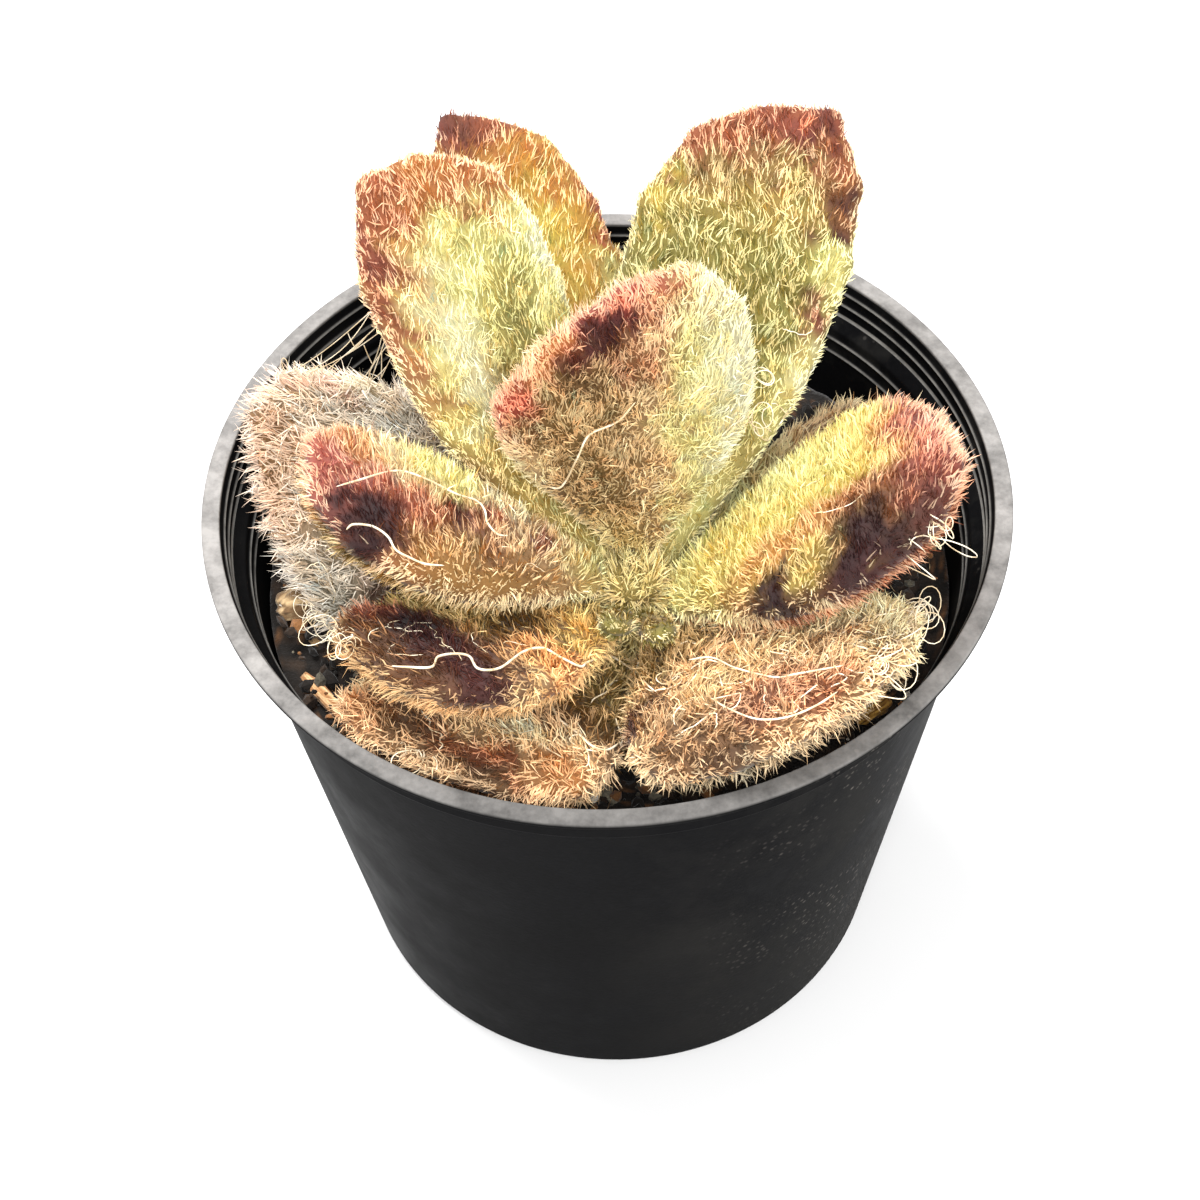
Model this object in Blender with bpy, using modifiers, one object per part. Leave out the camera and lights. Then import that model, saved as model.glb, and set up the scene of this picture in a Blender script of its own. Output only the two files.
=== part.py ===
# Panda plant in a round nursery pot.
# Metres, +Z up. The origin is the centre of the pot's foot, on the surface it stands on.
# The camera side of the plant is -Y, and each leaf is named for where it lies seen from there.

import math

import bmesh
import bpy
import numpy as np
from mathutils.bvhtree import BVHTree

MM = 0.001
GAP = 0.3 * MM  # between pieces that touch
COLLECTION = "potted_panda_plant"

# Pot, a thin moulded plastic cup
POT_HEIGHT = 72 * MM
RIM_RADIUS = 45 * MM
RIM_WIDTH = 2 * MM
RIM_DEPTH = 0.9 * MM
COLLAR_RADIUS = 43.3 * MM
COLLAR_DEPTH = 5 * MM
COLLAR_STEP = 1.2 * MM  # height of the slope from the collar in to the wall
WALL_TOP_RADIUS = 42.0 * MM
FOOT_RADIUS = 33.5 * MM
FOOT_ROUND = 1.2 * MM
FOOT_WIDTH = 2.6 * MM
FOOT_DEPTH = 2.2 * MM
WALL = 0.9 * MM
FLOOR = 1.2 * MM
POT_SIDES = 56
RIDGES = (62.6 * MM, 64.5 * MM, 68.7 * MM, 70.4 * MM)  # heights of the ridges round the inside
RIDGE_SIZE = 0.35 * MM
DRAIN_RADIUS = 3 * MM
DRAIN_CIRCLE = 21 * MM
DRAIN_COUNT = 6

# Soil, filled to below the rim, with a plain hole that the stem stands in
SOIL_DROP = 16 * MM
SOIL_TOP = POT_HEIGHT - SOIL_DROP
SOIL_ROUGHNESS = 0.55 * MM
SOIL_BANK = 1.2 * MM  # the soil lies higher along the left wall
SOIL_RINGS = 9
SOIL_SEED = 7

# Stem
STEM_X = 2.6 * MM
STEM_Y = -11 * MM
STEM_RADIUS = 3 * MM
STEM_ABOVE = 14.4 * MM
STEM_BELOW = 12 * MM
STEM_TAPER = 0.8
STEM_SIDES = 20

# Leaves
LEAF_POINTS = 42  # along the margin, from one side of the base round the tip to the other
LEAF_RINGS = (1.0, 0.86, 0.5, 0.0)  # from the margin in to the midrib
LEAF_BASE = 0.21  # width of the base, as a share of the full width
LEAF_WIDEST = 0.62  # how far along the leaf it is widest
LEAF_SHOULDER = 2.2  # how full the shoulders are
MIDRIB_END = 0.42  # from the tip, as a share of the width
LEAF_BASE_THICKNESS = 0.42
LEAF_TIP_THINNING = 0.28
UPPER_SHARE = 0.8  # the upper face is flatter than the belly
LOWER_SHARE = 1.2
TOOTH_WIDTH = 1.5 * MM

# azimuth: the way the leaf points, from +X towards +Y; rise: its slope at the base;
# lift and sweep: how much the slope and the azimuth change over its length;
# roll: how far it is turned about its own length; seat: height of its base above the soil;
# skew: how far one shoulder reaches past the other; square: how blunt the tip is;
# teeth: blunt teeth, as place along the margin from the tip in mm (to the left is +) and height in mm.
# Angles are degrees, and lengths mm.
EVEN_TEETH = ((-19, 0.8), (-12, 1.0), (-5, 1.0), (3, 0.9), (10, 1.0), (17, 0.8))
LEAVES = {
    "leaf_back_left": dict(
        azimuth=130, rise=40, lift=13.5, sweep=-18, roll=-2, length=49.5, width=20, thick=6.5,
        seat=9.6, skew=-0.11, square=3.05,
        teeth=((-22, 0.7), (-15, 0.8), (-8, 1.0), (0, 0.8), (6, 1.7), (16, 0.8)),
    ),
    "leaf_back_middle": dict(
        azimuth=109, rise=25, lift=8, sweep=-13, roll=-13, length=57, width=20, thick=6,
        seat=6.1, skew=-0.34, square=3,
        teeth=((-25, 1.4), (-21, 1.6), (-13, 1.0), (-5, 1.2), (6, 1.6), (15, 0.8)),
    ),
    "leaf_back_right": dict(
        azimuth=67, rise=39, lift=2, sweep=-0.5, roll=-0.5, length=53, width=23.5, thick=6.5,
        seat=8.6, skew=0.24, square=2.8,
        teeth=((-22, 1.0), (-14, 1.1), (-6, 1.6), (1, 0.5), (8, 1.2), (17, 0.9)),
    ),
    "leaf_centre": dict(
        azimuth=87, rise=77, lift=-2.5, sweep=22, roll=-6.5, length=31, width=26.5, thick=7,
        seat=12.9, skew=0.25, square=2.35,
        teeth=((-15, 0.7), (-8, 0.9), (0, 1.0), (8, 1.0), (16, 1.4)),
    ),
    "leaf_left": dict(
        azimuth=183, rise=31, lift=9.5, sweep=-5.5, roll=-14, length=34.5, width=20, thick=8,
        seat=13.2, skew=0.03, square=2.7, teeth=EVEN_TEETH,
    ),
    "leaf_right": dict(
        azimuth=-7, rise=38.5, lift=10.5, sweep=11, roll=12, length=37, width=25, thick=9,
        seat=10.2, skew=0.31, square=2.65, teeth=EVEN_TEETH,
    ),
    "leaf_front_left": dict(
        azimuth=216, rise=24.5, lift=10.5, sweep=-4.5, roll=-18.5, length=33, width=22, thick=7,
        seat=8.4, skew=-0.07, square=2.55, teeth=EVEN_TEETH,
    ),
    "leaf_low_front_left": dict(
        azimuth=228, rise=15, lift=16, sweep=-6.5, roll=-7, length=32, width=26.5, thick=7,
        seat=2.7, skew=0.31, square=2.6, teeth=EVEN_TEETH,
    ),
    "leaf_low_front_right": dict(
        azimuth=308, rise=30, lift=3.5, sweep=2.5, roll=0, length=32, width=32, thick=7.5,
        seat=4.6, skew=-0.14, square=2.3, teeth=EVEN_TEETH,
    ),
    "leaf_low_left": dict(
        azimuth=153.5, rise=14.5, lift=2.5, sweep=11.5, roll=20.5, length=42.5, width=27.5, thick=6.5,
        seat=3.6, skew=0.62, square=2.35, teeth=EVEN_TEETH,
    ),
    "leaf_low_right": dict(
        azimuth=32, rise=10, lift=1, sweep=-1.5, roll=5, length=38, width=20, thick=6.5,
        seat=4.9, skew=0.01, square=2.6, teeth=EVEN_TEETH,
    ),
    "leaf_low_back": dict(
        azimuth=87.5, rise=13, lift=0, sweep=0, roll=1, length=35.5, width=21, thick=6,
        seat=2.5, skew=0, square=2.6, teeth=EVEN_TEETH,
    ),
    "leaf_new_left": dict(
        azimuth=256, rise=32, lift=20, sweep=0, roll=0, length=9.5, width=3.8, thick=2.4,
        seat=11.9, skew=0, square=2.6, teeth=(),
    ),
    "leaf_new_right": dict(
        azimuth=284, rise=28, lift=20, sweep=0, roll=0, length=10, width=3.8, thick=2.4,
        seat=11.3, skew=0, square=2.6, teeth=(),
    ),
}
LEAF_COLOURS = {
    "leaf_back_left": (0.62, 0.55, 0.22),
    "leaf_back_middle": (0.72, 0.50, 0.20),
    "leaf_back_right": (0.47, 0.44, 0.22),
    "leaf_centre": (0.46, 0.33, 0.20),
    "leaf_left": (0.55, 0.36, 0.18),
    "leaf_right": (0.66, 0.46, 0.18),
    "leaf_front_left": (0.40, 0.24, 0.13),
    "leaf_low_front_left": (0.50, 0.32, 0.20),
    "leaf_low_front_right": (0.62, 0.48, 0.36),
    "leaf_low_left": (0.50, 0.44, 0.38),
    "leaf_low_right": (0.48, 0.38, 0.27),
    "leaf_low_back": (0.46, 0.40, 0.30),
    "leaf_new_left": (0.36, 0.38, 0.20),
    "leaf_new_right": (0.36, 0.38, 0.20),
}

# Bits lying on the soil: place, size and turn about the vertical, in mm and degrees
SOIL_BITS = {
    "bark_lump": dict(place=(-35.4, -4.5), size=(6.2, 4.6, 3.6), turn=20, colour=(0.45, 0.33, 0.22)),
    "wood_stick": dict(place=(-31.8, -17.2), size=(9.5, 1.8, 1.6), turn=-52, colour=(0.62, 0.46, 0.30)),
    "bark_chip": dict(place=(28.2, -21.4), size=(5.4, 3.6, 1.8), turn=35, colour=(0.55, 0.40, 0.16)),
}
BIT_ROUGHNESS = 0.12
BIT_SEED = 11


def clear_scene():
    for obj in list(bpy.data.objects):
        bpy.data.objects.remove(obj, do_unlink=True)


def new_collection(name):
    collection = bpy.data.collections.new(name)
    bpy.context.scene.collection.children.link(collection)
    return collection


def make_material(name, colour, roughness):
    material = bpy.data.materials.new(name)
    material.use_nodes = True
    shader = material.node_tree.nodes["Principled BSDF"]
    shader.inputs["Base Color"].default_value = (*colour, 1)
    shader.inputs["Roughness"].default_value = roughness
    shader.inputs["Metallic"].default_value = 0
    return material


def add_object(name, mesh, collection, material=None):
    obj = bpy.data.objects.new(name, mesh)
    collection.objects.link(obj)
    if material:
        mesh.materials.append(material)
    return obj


def shade_round(mesh, sharp_degrees):
    mesh.shade_smooth()
    mesh.set_sharp_from_angle(angle=math.radians(sharp_degrees))


def turned(name, profile, sides, collection, material):
    """A profile of (radius, height) points, run down its outer side, turned about the Z axis."""
    mesh = bpy.data.meshes.new(name)
    points = [(radius, 0, height) for radius, height in profile]
    edges = [(i, i + 1) for i in range(len(points) - 1)]
    mesh.from_pydata(points, edges, [])
    obj = add_object(name, mesh, collection, material)
    screw = obj.modifiers.new("turn", "SCREW")
    screw.axis = "Z"
    screw.angle = math.tau
    screw.steps = sides
    screw.render_steps = sides
    screw.use_merge_vertices = True
    screw.merge_threshold = 0.00001
    screw.use_smooth_shade = True
    return obj


def wall_radius(height):
    """Outer radius of the tapered wall."""
    top = POT_HEIGHT - COLLAR_DEPTH
    return FOOT_RADIUS + (WALL_TOP_RADIUS - FOOT_RADIUS) * height / top


def inner_radius(height):
    """Inner radius of the wall, and of the flared collar above the step."""
    share = (height - POT_HEIGHT + COLLAR_DEPTH) / COLLAR_DEPTH
    if share < 0:
        return wall_radius(height) - WALL
    return (COLLAR_RADIUS - WALL) * (1 - share) + (RIM_RADIUS - RIM_WIDTH) * share


def pot_profile():
    collar_bottom = POT_HEIGHT - COLLAR_DEPTH
    step_bottom = collar_bottom - COLLAR_STEP
    floor_top = FOOT_DEPTH + FLOOR
    inner_foot = FOOT_RADIUS - FOOT_ROUND - FOOT_WIDTH

    inside = [(inner_radius(height), height) for height in (floor_top, step_bottom, collar_bottom, POT_HEIGHT)]
    for middle in RIDGES:
        for offset, proud in ((-RIDGE_SIZE, 0), (0, RIDGE_SIZE), (RIDGE_SIZE, 0)):
            height = middle + offset
            inside.append((inner_radius(height) - proud, height))
    inside.sort(key=lambda point: point[1])

    rim_bottom = POT_HEIGHT - RIM_DEPTH
    outside = [
        (RIM_RADIUS, POT_HEIGHT),
        (RIM_RADIUS, rim_bottom),
        (COLLAR_RADIUS, rim_bottom),
        (COLLAR_RADIUS, collar_bottom),
        (wall_radius(step_bottom), step_bottom),
    ]
    for i in range(4):
        angle = math.radians(30 * i)
        outside.append((
            wall_radius(FOOT_ROUND) - FOOT_ROUND * (1 - math.cos(angle)),
            FOOT_ROUND * (1 - math.sin(angle)),
        ))
    outside += [(inner_foot, 0), (inner_foot - 0.6 * MM, FOOT_DEPTH), (0, FOOT_DEPTH)]
    return [(0, floor_top), *inside, *outside]


def drain_cutter(collection):
    """Upright cylinders in one mesh, one for each drain hole in the floor."""
    shape = bmesh.new()
    places = [(0, 0)]
    for i in range(DRAIN_COUNT):
        angle = math.tau * (i + 0.5) / DRAIN_COUNT
        places.append((DRAIN_CIRCLE * math.cos(angle), DRAIN_CIRCLE * math.sin(angle)))
    for x, y in places:
        made = bmesh.ops.create_cone(
            shape, cap_ends=True, segments=16, radius1=DRAIN_RADIUS, radius2=DRAIN_RADIUS, depth=6 * MM
        )
        bmesh.ops.translate(shape, verts=made["verts"], vec=(x, y, FOOT_DEPTH + FLOOR / 2))
    mesh = bpy.data.meshes.new("drain_cutter")
    shape.to_mesh(mesh)
    shape.free()
    cutter = add_object("drain_cutter", mesh, collection)
    cutter.hide_render = True
    cutter.display_type = "WIRE"
    return cutter


def make_pot(collection, cutters):
    material = make_material("pot_plastic", (0.022, 0.022, 0.024), 0.55)
    pot = turned("pot", pot_profile(), POT_SIDES, collection, material)
    cut = pot.modifiers.new("drain_holes", "BOOLEAN")
    cut.operation = "DIFFERENCE"
    cut.solver = "EXACT"
    cut.object = drain_cutter(cutters)
    return pot


def ring_mesh(name, rings, sides):
    """A closed skin over rings of points, each an array of (sides, 3), with a point at each end."""
    points = np.concatenate([rings[0][:1], *rings[1:-1], rings[-1][:1]])
    faces = []
    last = len(points) - 1
    for k in range(sides):
        after = (k + 1) % sides
        faces.append((0, 1 + k, 1 + after))
        faces.append((last, last - sides + after, last - sides + k))
        for r in range(len(rings) - 3):
            low = 1 + r * sides
            high = low + sides
            faces.append((low + k, high + k, high + after))
            faces.append((low + k, high + after, low + after))
    mesh = bpy.data.meshes.new(name)
    mesh.from_pydata(points.tolist(), [], faces)
    return mesh


def soil_height(x, y, draws):
    """Top of the soil: lumps from a few waves, a bank along the left wall and a seeded roughness."""
    waves = 0.5 * np.sin(x / (5.1 * MM) + 0.7) * np.cos(y / (6.3 * MM)) + 0.3 * np.sin((x + y) / (3.2 * MM))
    bank = SOIL_BANK * np.clip(-x / (38 * MM), 0, 1) ** 2
    return SOIL_TOP + 0.6 * MM * waves + bank + SOIL_ROUGHNESS * draws


def make_soil(collection):
    """Rings from the bottom of the stem's hole, up its wall, out to the pot and down the pot's wall."""
    rng = np.random.default_rng(SOIL_SEED)
    turn = np.linspace(0, math.tau, POT_SIDES, endpoint=False)
    circle = np.stack([np.cos(turn), np.sin(turn)], 1)
    stem = np.array([STEM_X, STEM_Y])
    hole = STEM_RADIUS + GAP
    hole_bottom = SOIL_TOP - STEM_BELOW - GAP
    bottom = FOOT_DEPTH + FLOOR + GAP

    def ring(centre, radius, height):
        flat = centre + circle * radius
        return np.column_stack([flat, np.broadcast_to(height, POT_SIDES)])

    rings = [ring(stem, 0, hole_bottom), ring(stem, hole, hole_bottom)]
    edge = wall_radius(SOIL_TOP) - WALL - GAP
    for i in range(SOIL_RINGS):
        share = i / (SOIL_RINGS - 1)
        # The rings spread from the stem's hole to the pot's wall.
        flat = (stem + circle * hole) * (1 - share) + circle * edge * share
        draws = rng.uniform(-1, 1, POT_SIDES) * (0.3 if i in (0, SOIL_RINGS - 1) else 1)
        rings.append(np.column_stack([flat, soil_height(flat[:, 0], flat[:, 1], draws)]))
    foot = wall_radius(bottom) - WALL - GAP
    rings += [ring(0, foot, bottom), ring(0, 0, bottom)]
    mesh = ring_mesh("soil", rings, POT_SIDES)
    shade_round(mesh, 35)
    return add_object("soil", mesh, collection, make_material("soil", (0.035, 0.025, 0.018), 0.95))


def make_stem(collection):
    top = SOIL_TOP + STEM_ABOVE
    bottom = SOIL_TOP - STEM_BELOW
    dome = 0.5 * STEM_RADIUS
    profile = [(0, top), (0.7 * STEM_RADIUS, top - 0.3 * dome), (STEM_RADIUS, top - dome)]
    profile += [(STEM_RADIUS, SOIL_TOP - 0.3 * STEM_BELOW), (STEM_TAPER * STEM_RADIUS, bottom + 1.5 * MM)]
    profile += [(0.4 * STEM_RADIUS, bottom), (0, bottom)]
    stem = turned("stem", profile, STEM_SIDES, collection, make_material("stem", (0.33, 0.27, 0.15), 0.8))
    stem.location = (STEM_X, STEM_Y, 0)
    return stem


def half_width(along, leaf):
    """Half the leaf's width at a share of its length: a sine up to the widest place, then a blunt tip."""
    rise = np.sin(np.clip(along / LEAF_WIDEST, 0, 1) * math.pi / 2) ** 1.3
    past = np.clip((along - LEAF_WIDEST) / (1 - LEAF_WIDEST), 0, 1)
    before = LEAF_BASE + (1 - LEAF_BASE) * rise
    after = (1 - past ** leaf["square"]) ** (1 / LEAF_SHOULDER)
    return np.where(along < LEAF_WIDEST, before, after) * leaf["width"] * MM / 2


def leaf_margin(leaf, count):
    """Points round the flat leaf, closest at the tip, with its teeth, and the midrib point of each."""
    length = leaf["length"] * MM
    along = np.linspace(0, 1, 300)
    x = half_width(along, leaf)
    y = along * length
    x = np.concatenate([x, -x[-2::-1]])
    y = np.concatenate([y, y[-2::-1]])
    path = np.concatenate([[0], np.cumsum(np.hypot(np.diff(x), np.diff(y)))])
    path -= path[-1] / 2
    spread = np.linspace(-1, 1, count)
    place = np.sign(spread) * np.abs(spread) ** 1.3 * path[-1]
    step = 0.3 * MM
    ahead_x, behind_x = (np.interp(place + s, path, x) for s in (step, -step))
    ahead_y, behind_y = (np.interp(place + s, path, y) for s in (step, -step))
    size = np.hypot(ahead_x - behind_x, ahead_y - behind_y)
    out_x = (ahead_y - behind_y) / size
    out_y = (behind_x - ahead_x) / size
    tooth = np.zeros(count)
    for where, height in leaf["teeth"]:
        tooth += height * MM * np.exp(-0.5 * ((place - where * MM) / TOOTH_WIDTH) ** 2)
    smooth_y = np.interp(np.abs(place), path, y)
    midrib = np.clip(smooth_y, 0, length - MIDRIB_END * leaf["width"] * MM)
    return np.interp(place, path, x) + out_x * tooth, np.interp(place, path, y) + out_y * tooth, midrib


def half_thickness(y, leaf):
    """Thin at the base, full from the middle on, and thinner again towards the tip."""
    along = np.clip(y / (leaf["length"] * MM), 0, 1)
    full = np.sin(np.clip(along / 0.45, 0, 1) * math.pi / 2)
    swell = LEAF_BASE_THICKNESS + (1 - LEAF_BASE_THICKNESS) * full
    thin = 1 - LEAF_TIP_THINNING * np.clip((along - 0.6) / 0.4, 0, 1)
    return leaf["thick"] * MM / 2 * swell * thin


def leaf_seat(leaf):
    """Where the base meets the stem: its upper edge stands one gap clear of the bark."""
    turn = math.radians(leaf["azimuth"])
    tilt = math.radians(leaf["rise"])
    base = LEAF_BASE_THICKNESS * leaf["thick"] * MM / 2
    out = STEM_RADIUS + GAP + base * math.sin(tilt)
    x = STEM_X + out * math.cos(turn)
    y = STEM_Y + out * math.sin(turn)
    return np.array([x, y, SOIL_TOP + leaf["seat"] * MM])


def bent(leaf, x, y, z):
    """Carries flat leaf points (across, along, up) onto the leaf's curved midrib in the plant."""
    length = leaf["length"] * MM
    y = y + leaf["skew"] * x * (np.clip(y / length - 0.35, 0, 1) / 0.65) ** 1.5
    steps = np.linspace(0, 1, 60)
    reach = 1.2 * length
    turn = np.radians(leaf["azimuth"] + leaf["sweep"] * steps)
    tilt = np.radians(leaf["rise"] + leaf["lift"] * steps)
    way = np.stack([np.cos(tilt) * np.cos(turn), np.cos(tilt) * np.sin(turn), np.sin(tilt)], 1)
    middles = (way[1:] + way[:-1]) / 2 * reach / (len(steps) - 1)
    line = leaf_seat(leaf) + np.concatenate([np.zeros((1, 3)), np.cumsum(middles, 0)])
    at = np.stack([np.interp(y, steps * reach, line[:, i]) for i in range(3)], 1)
    ahead = np.stack([np.interp(y, steps * reach, way[:, i]) for i in range(3)], 1)
    ahead /= np.linalg.norm(ahead, axis=1)[:, None]
    side = np.cross(ahead, (0, 0, 1))
    side /= np.linalg.norm(side, axis=1)[:, None]
    up = np.cross(side, ahead)
    roll = np.radians(leaf["roll"]) * np.clip(y / (0.35 * length), 0, 1)[:, None]
    across = side * np.cos(roll) + up * np.sin(roll)
    above = up * np.cos(roll) - side * np.sin(roll)
    return at + across * x[:, None] + above * z[:, None]


def leaf_mesh(name, leaf, count):
    """Rings from the toothed margin in to the midrib, above and below, and a flat end at the base."""
    margin_x, margin_y, midrib = leaf_margin(leaf, count)
    layers = {1: [], -1: []}
    for ring in LEAF_RINGS:
        x = margin_x * ring
        y = midrib + (margin_y - midrib) * ring
        puff = half_thickness(y, leaf) * np.sqrt(np.clip(1 - ring ** 2.4, 0, 1))
        layers[1].append(bent(leaf, x, y, puff * UPPER_SHARE))
        layers[-1].append(bent(leaf, x, y, -puff * LOWER_SHARE))

    shape = bmesh.new()
    upper = [[shape.verts.new(p) for p in layer] for layer in layers[1]]
    lower = [upper[0]] + [[shape.verts.new(p) for p in layer] for layer in layers[-1][1:]]
    for r in range(len(LEAF_RINGS) - 1):
        for k in range(count - 1):
            shape.faces.new((upper[r][k], upper[r][k + 1], upper[r + 1][k + 1], upper[r + 1][k]))
            shape.faces.new((lower[r][k], lower[r + 1][k], lower[r + 1][k + 1], lower[r][k + 1]))
        for k in (0, count - 1):
            corners = [upper[r][k], upper[r + 1][k], lower[r + 1][k], lower[r][k]]
            shape.faces.new(list(dict.fromkeys(corners)))
    bmesh.ops.remove_doubles(shape, verts=shape.verts, dist=0.001 * MM)
    bmesh.ops.triangulate(shape, faces=shape.faces)
    bmesh.ops.recalc_face_normals(shape, faces=shape.faces)
    mesh = bpy.data.meshes.new(name)
    shape.to_mesh(mesh)
    shape.free()
    shade_round(mesh, 50)
    return mesh


def make_leaves(collection):
    for name, leaf in LEAVES.items():
        count = LEAF_POINTS if leaf["teeth"] else LEAF_POINTS // 2
        material = make_material(name, LEAF_COLOURS[name], 0.85)
        add_object(name, leaf_mesh(name, leaf, count), collection, material)


def room_above(soil, shape):
    """How far the shape can drop before it touches the soil: from its points down, and from the soil's up."""
    mesh = soil.data
    surface = BVHTree.FromPolygons([v.co for v in mesh.vertices], [p.vertices for p in mesh.polygons])
    body = BVHTree.FromBMesh(shape)
    drops = [surface.ray_cast(vert.co, (0, 0, -1))[3] for vert in shape.verts]
    drops += [body.ray_cast(vert.co, (0, 0, 1))[3] for vert in mesh.vertices]
    return min(drop for drop in drops if drop is not None)


def make_soil_bit(name, bit, rng, soil, collection):
    """A small rough lump that lies one gap above the soil."""
    shape = bmesh.new()
    bmesh.ops.create_icosphere(shape, subdivisions=2, radius=0.5)
    size = np.array(bit["size"]) * MM
    turn = math.radians(bit["turn"])
    px, py = (value * MM for value in bit["place"])
    for vert in shape.verts:
        rough = 1 + BIT_ROUGHNESS * rng.uniform(-1, 1)
        x, y, z = np.array(vert.co) * size * rough
        vert.co = (
            px + x * math.cos(turn) - y * math.sin(turn),
            py + x * math.sin(turn) + y * math.cos(turn),
            POT_HEIGHT + z,
        )
    bmesh.ops.translate(shape, verts=shape.verts, vec=(0, 0, GAP - room_above(soil, shape)))
    mesh = bpy.data.meshes.new(name)
    shape.to_mesh(mesh)
    shape.free()
    shade_round(mesh, 40)
    return add_object(name, mesh, collection, make_material(name, bit["colour"], 0.9))


def main():
    clear_scene()
    plant = new_collection(COLLECTION)
    cutters = new_collection("cutters")
    make_pot(plant, cutters)
    soil = make_soil(plant)
    make_stem(plant)
    make_leaves(plant)
    rng = np.random.default_rng(BIT_SEED)
    for name, bit in SOIL_BITS.items():
        make_soil_bit(name, bit, rng, soil, plant)


main()
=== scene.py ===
import math

import bpy
import numpy as np
from mathutils import Matrix, Vector


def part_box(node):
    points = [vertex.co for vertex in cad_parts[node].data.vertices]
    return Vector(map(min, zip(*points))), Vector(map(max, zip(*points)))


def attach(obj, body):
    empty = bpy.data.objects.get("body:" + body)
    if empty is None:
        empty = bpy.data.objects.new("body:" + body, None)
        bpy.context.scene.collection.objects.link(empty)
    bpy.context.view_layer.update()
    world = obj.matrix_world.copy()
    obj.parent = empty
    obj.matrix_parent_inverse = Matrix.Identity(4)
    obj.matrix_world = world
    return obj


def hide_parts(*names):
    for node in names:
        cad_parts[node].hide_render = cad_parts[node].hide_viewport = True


# Looks for a potted panda plant: velvety toothed leaves, loose soil and a thin black nursery pot.
# Metres, +Z up, the camera side is -Y. Sizes in the dictionaries are mm, angles are degrees,
# and colours are 0 to 255 as a screen shows them.

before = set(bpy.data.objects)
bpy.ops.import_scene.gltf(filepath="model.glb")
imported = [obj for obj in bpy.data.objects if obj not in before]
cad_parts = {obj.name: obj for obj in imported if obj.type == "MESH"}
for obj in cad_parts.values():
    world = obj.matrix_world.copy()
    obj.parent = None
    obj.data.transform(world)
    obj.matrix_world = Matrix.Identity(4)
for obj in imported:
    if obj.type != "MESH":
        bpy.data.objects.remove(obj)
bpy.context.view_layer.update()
mm = 0.001


def screenColour(values):
    # the linear colour of a 0 to 255 screen colour
    shown = np.asarray(values, float) / 255
    return np.where(shown <= 0.04045, shown / 12.92, ((shown + 0.055) / 1.055) ** 2.4)


def blendIn(base, added, share):
    # base where share is 0, added where it is 1
    share = np.asarray(share)[..., None]
    return base * (1 - share) + added * share


def smoothStep(low, high, value):
    # 0 below low, 1 above high, and 3t^2 - 2t^3 between
    t = np.clip((value - low) / (high - low), 0, 1)
    return t * t * (3 - 2 * t)


def unit(ways):
    # each row divided by its length
    return ways / np.maximum(np.linalg.norm(ways, axis=1), 1e-12)[:, None]


def ripples(points, size, seed, count=9):
    # a sum of sine waves in seeded directions, each about size long; mostly between -1 and 1
    rng = np.random.default_rng(seed)
    ways = unit(rng.normal(size=(count, 3)))
    ways *= (math.tau / size * rng.uniform(0.6, 1.7, count))[:, None]
    phase = rng.uniform(0, math.tau, count)
    return np.sin(points @ ways.T + phase).sum(1) / math.sqrt(count)


def rippled(points, size, seed):
    # three ripples of one size, as the x, y and z of a vector
    return np.stack([ripples(points, size, seed + way) for way in range(3)], 1)


def interpolate(at, stops, rows):
    # each column of rows at the places at, on straight lines between the stops
    return np.stack([np.interp(at, stops, column) for column in rows.T], 1)


def pathLength(x, y):
    # how long a path is up to each of its points
    return np.concatenate([[0], np.cumsum(np.hypot(np.diff(x), np.diff(y)))])


def gridFaces(rows, columns, wrap=False):
    # two triangles for each cell of a grid of points; wrap joins the last column to the first
    r, c = np.meshgrid(np.arange(rows - 1), np.arange(columns if wrap else columns - 1), indexing="ij")
    after = (c + 1) % columns
    a, b = r * columns + c, r * columns + after
    d, e = (r + 1) * columns + c, (r + 1) * columns + after
    return np.concatenate([np.stack([a, b, e], -1).reshape(-1, 3), np.stack([a, e, d], -1).reshape(-1, 3)])


def repeatFaces(faces, size, count):
    # the faces of so many copies of a shape, whose points follow each other size by size
    return (faces[None] + size * np.arange(count)[:, None, None]).reshape(-1, 3)


def joined(shapes):
    # the points and faces of several shapes as those of one
    starts = np.cumsum([0] + [len(points) for points, _ in shapes])
    faces = [faces + start for (_, faces), start in zip(shapes, starts)]
    return np.concatenate([points for points, _ in shapes]), np.concatenate(faces)


def mergePoints(points, faces, extras):
    # points at one place become one, and faces with no area left go
    key = np.round(points / 1e-6).astype(np.int64)
    _, first, place = np.unique(key, axis=0, return_index=True, return_inverse=True)
    faces = place.reshape(-1)[faces]
    whole = (faces[:, 0] != faces[:, 1]) & (faces[:, 1] != faces[:, 2]) & (faces[:, 2] != faces[:, 0])
    return points[first], faces[whole], [extra[first] for extra in extras]


def outward(points, faces):
    # a closed skin whose volume sums to less than nothing is inside out, so its faces are turned
    corners = points[faces]
    volume = np.einsum("ij,ij->i", corners[:, 0], np.cross(corners[:, 1], corners[:, 2])).sum()
    return faces if volume > 0 else faces[:, ::-1]


def addObject(name, data):
    # an object for the data, linked into the scene
    thing = bpy.data.objects.new(name, data)
    bpy.context.scene.collection.objects.link(thing)
    return thing


def atHeight(flat, height):
    # flat points with one height for all, or one each
    return np.column_stack([flat, np.broadcast_to(height, len(flat))])


def circle(sides):
    # the cosine and sine of evenly spaced angles
    turn = np.linspace(0, math.tau, sides, endpoint=False)
    return np.stack([np.cos(turn), np.sin(turn)], 1)


def ringsRound(side, up, sides):
    # for each pair of directions a circle of points in their plane, one away from the middle
    turn = np.linspace(0, math.tau, sides, endpoint=False)[None, :, None]
    return side[:, None] * np.cos(turn) + up[:, None] * np.sin(turn)


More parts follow.
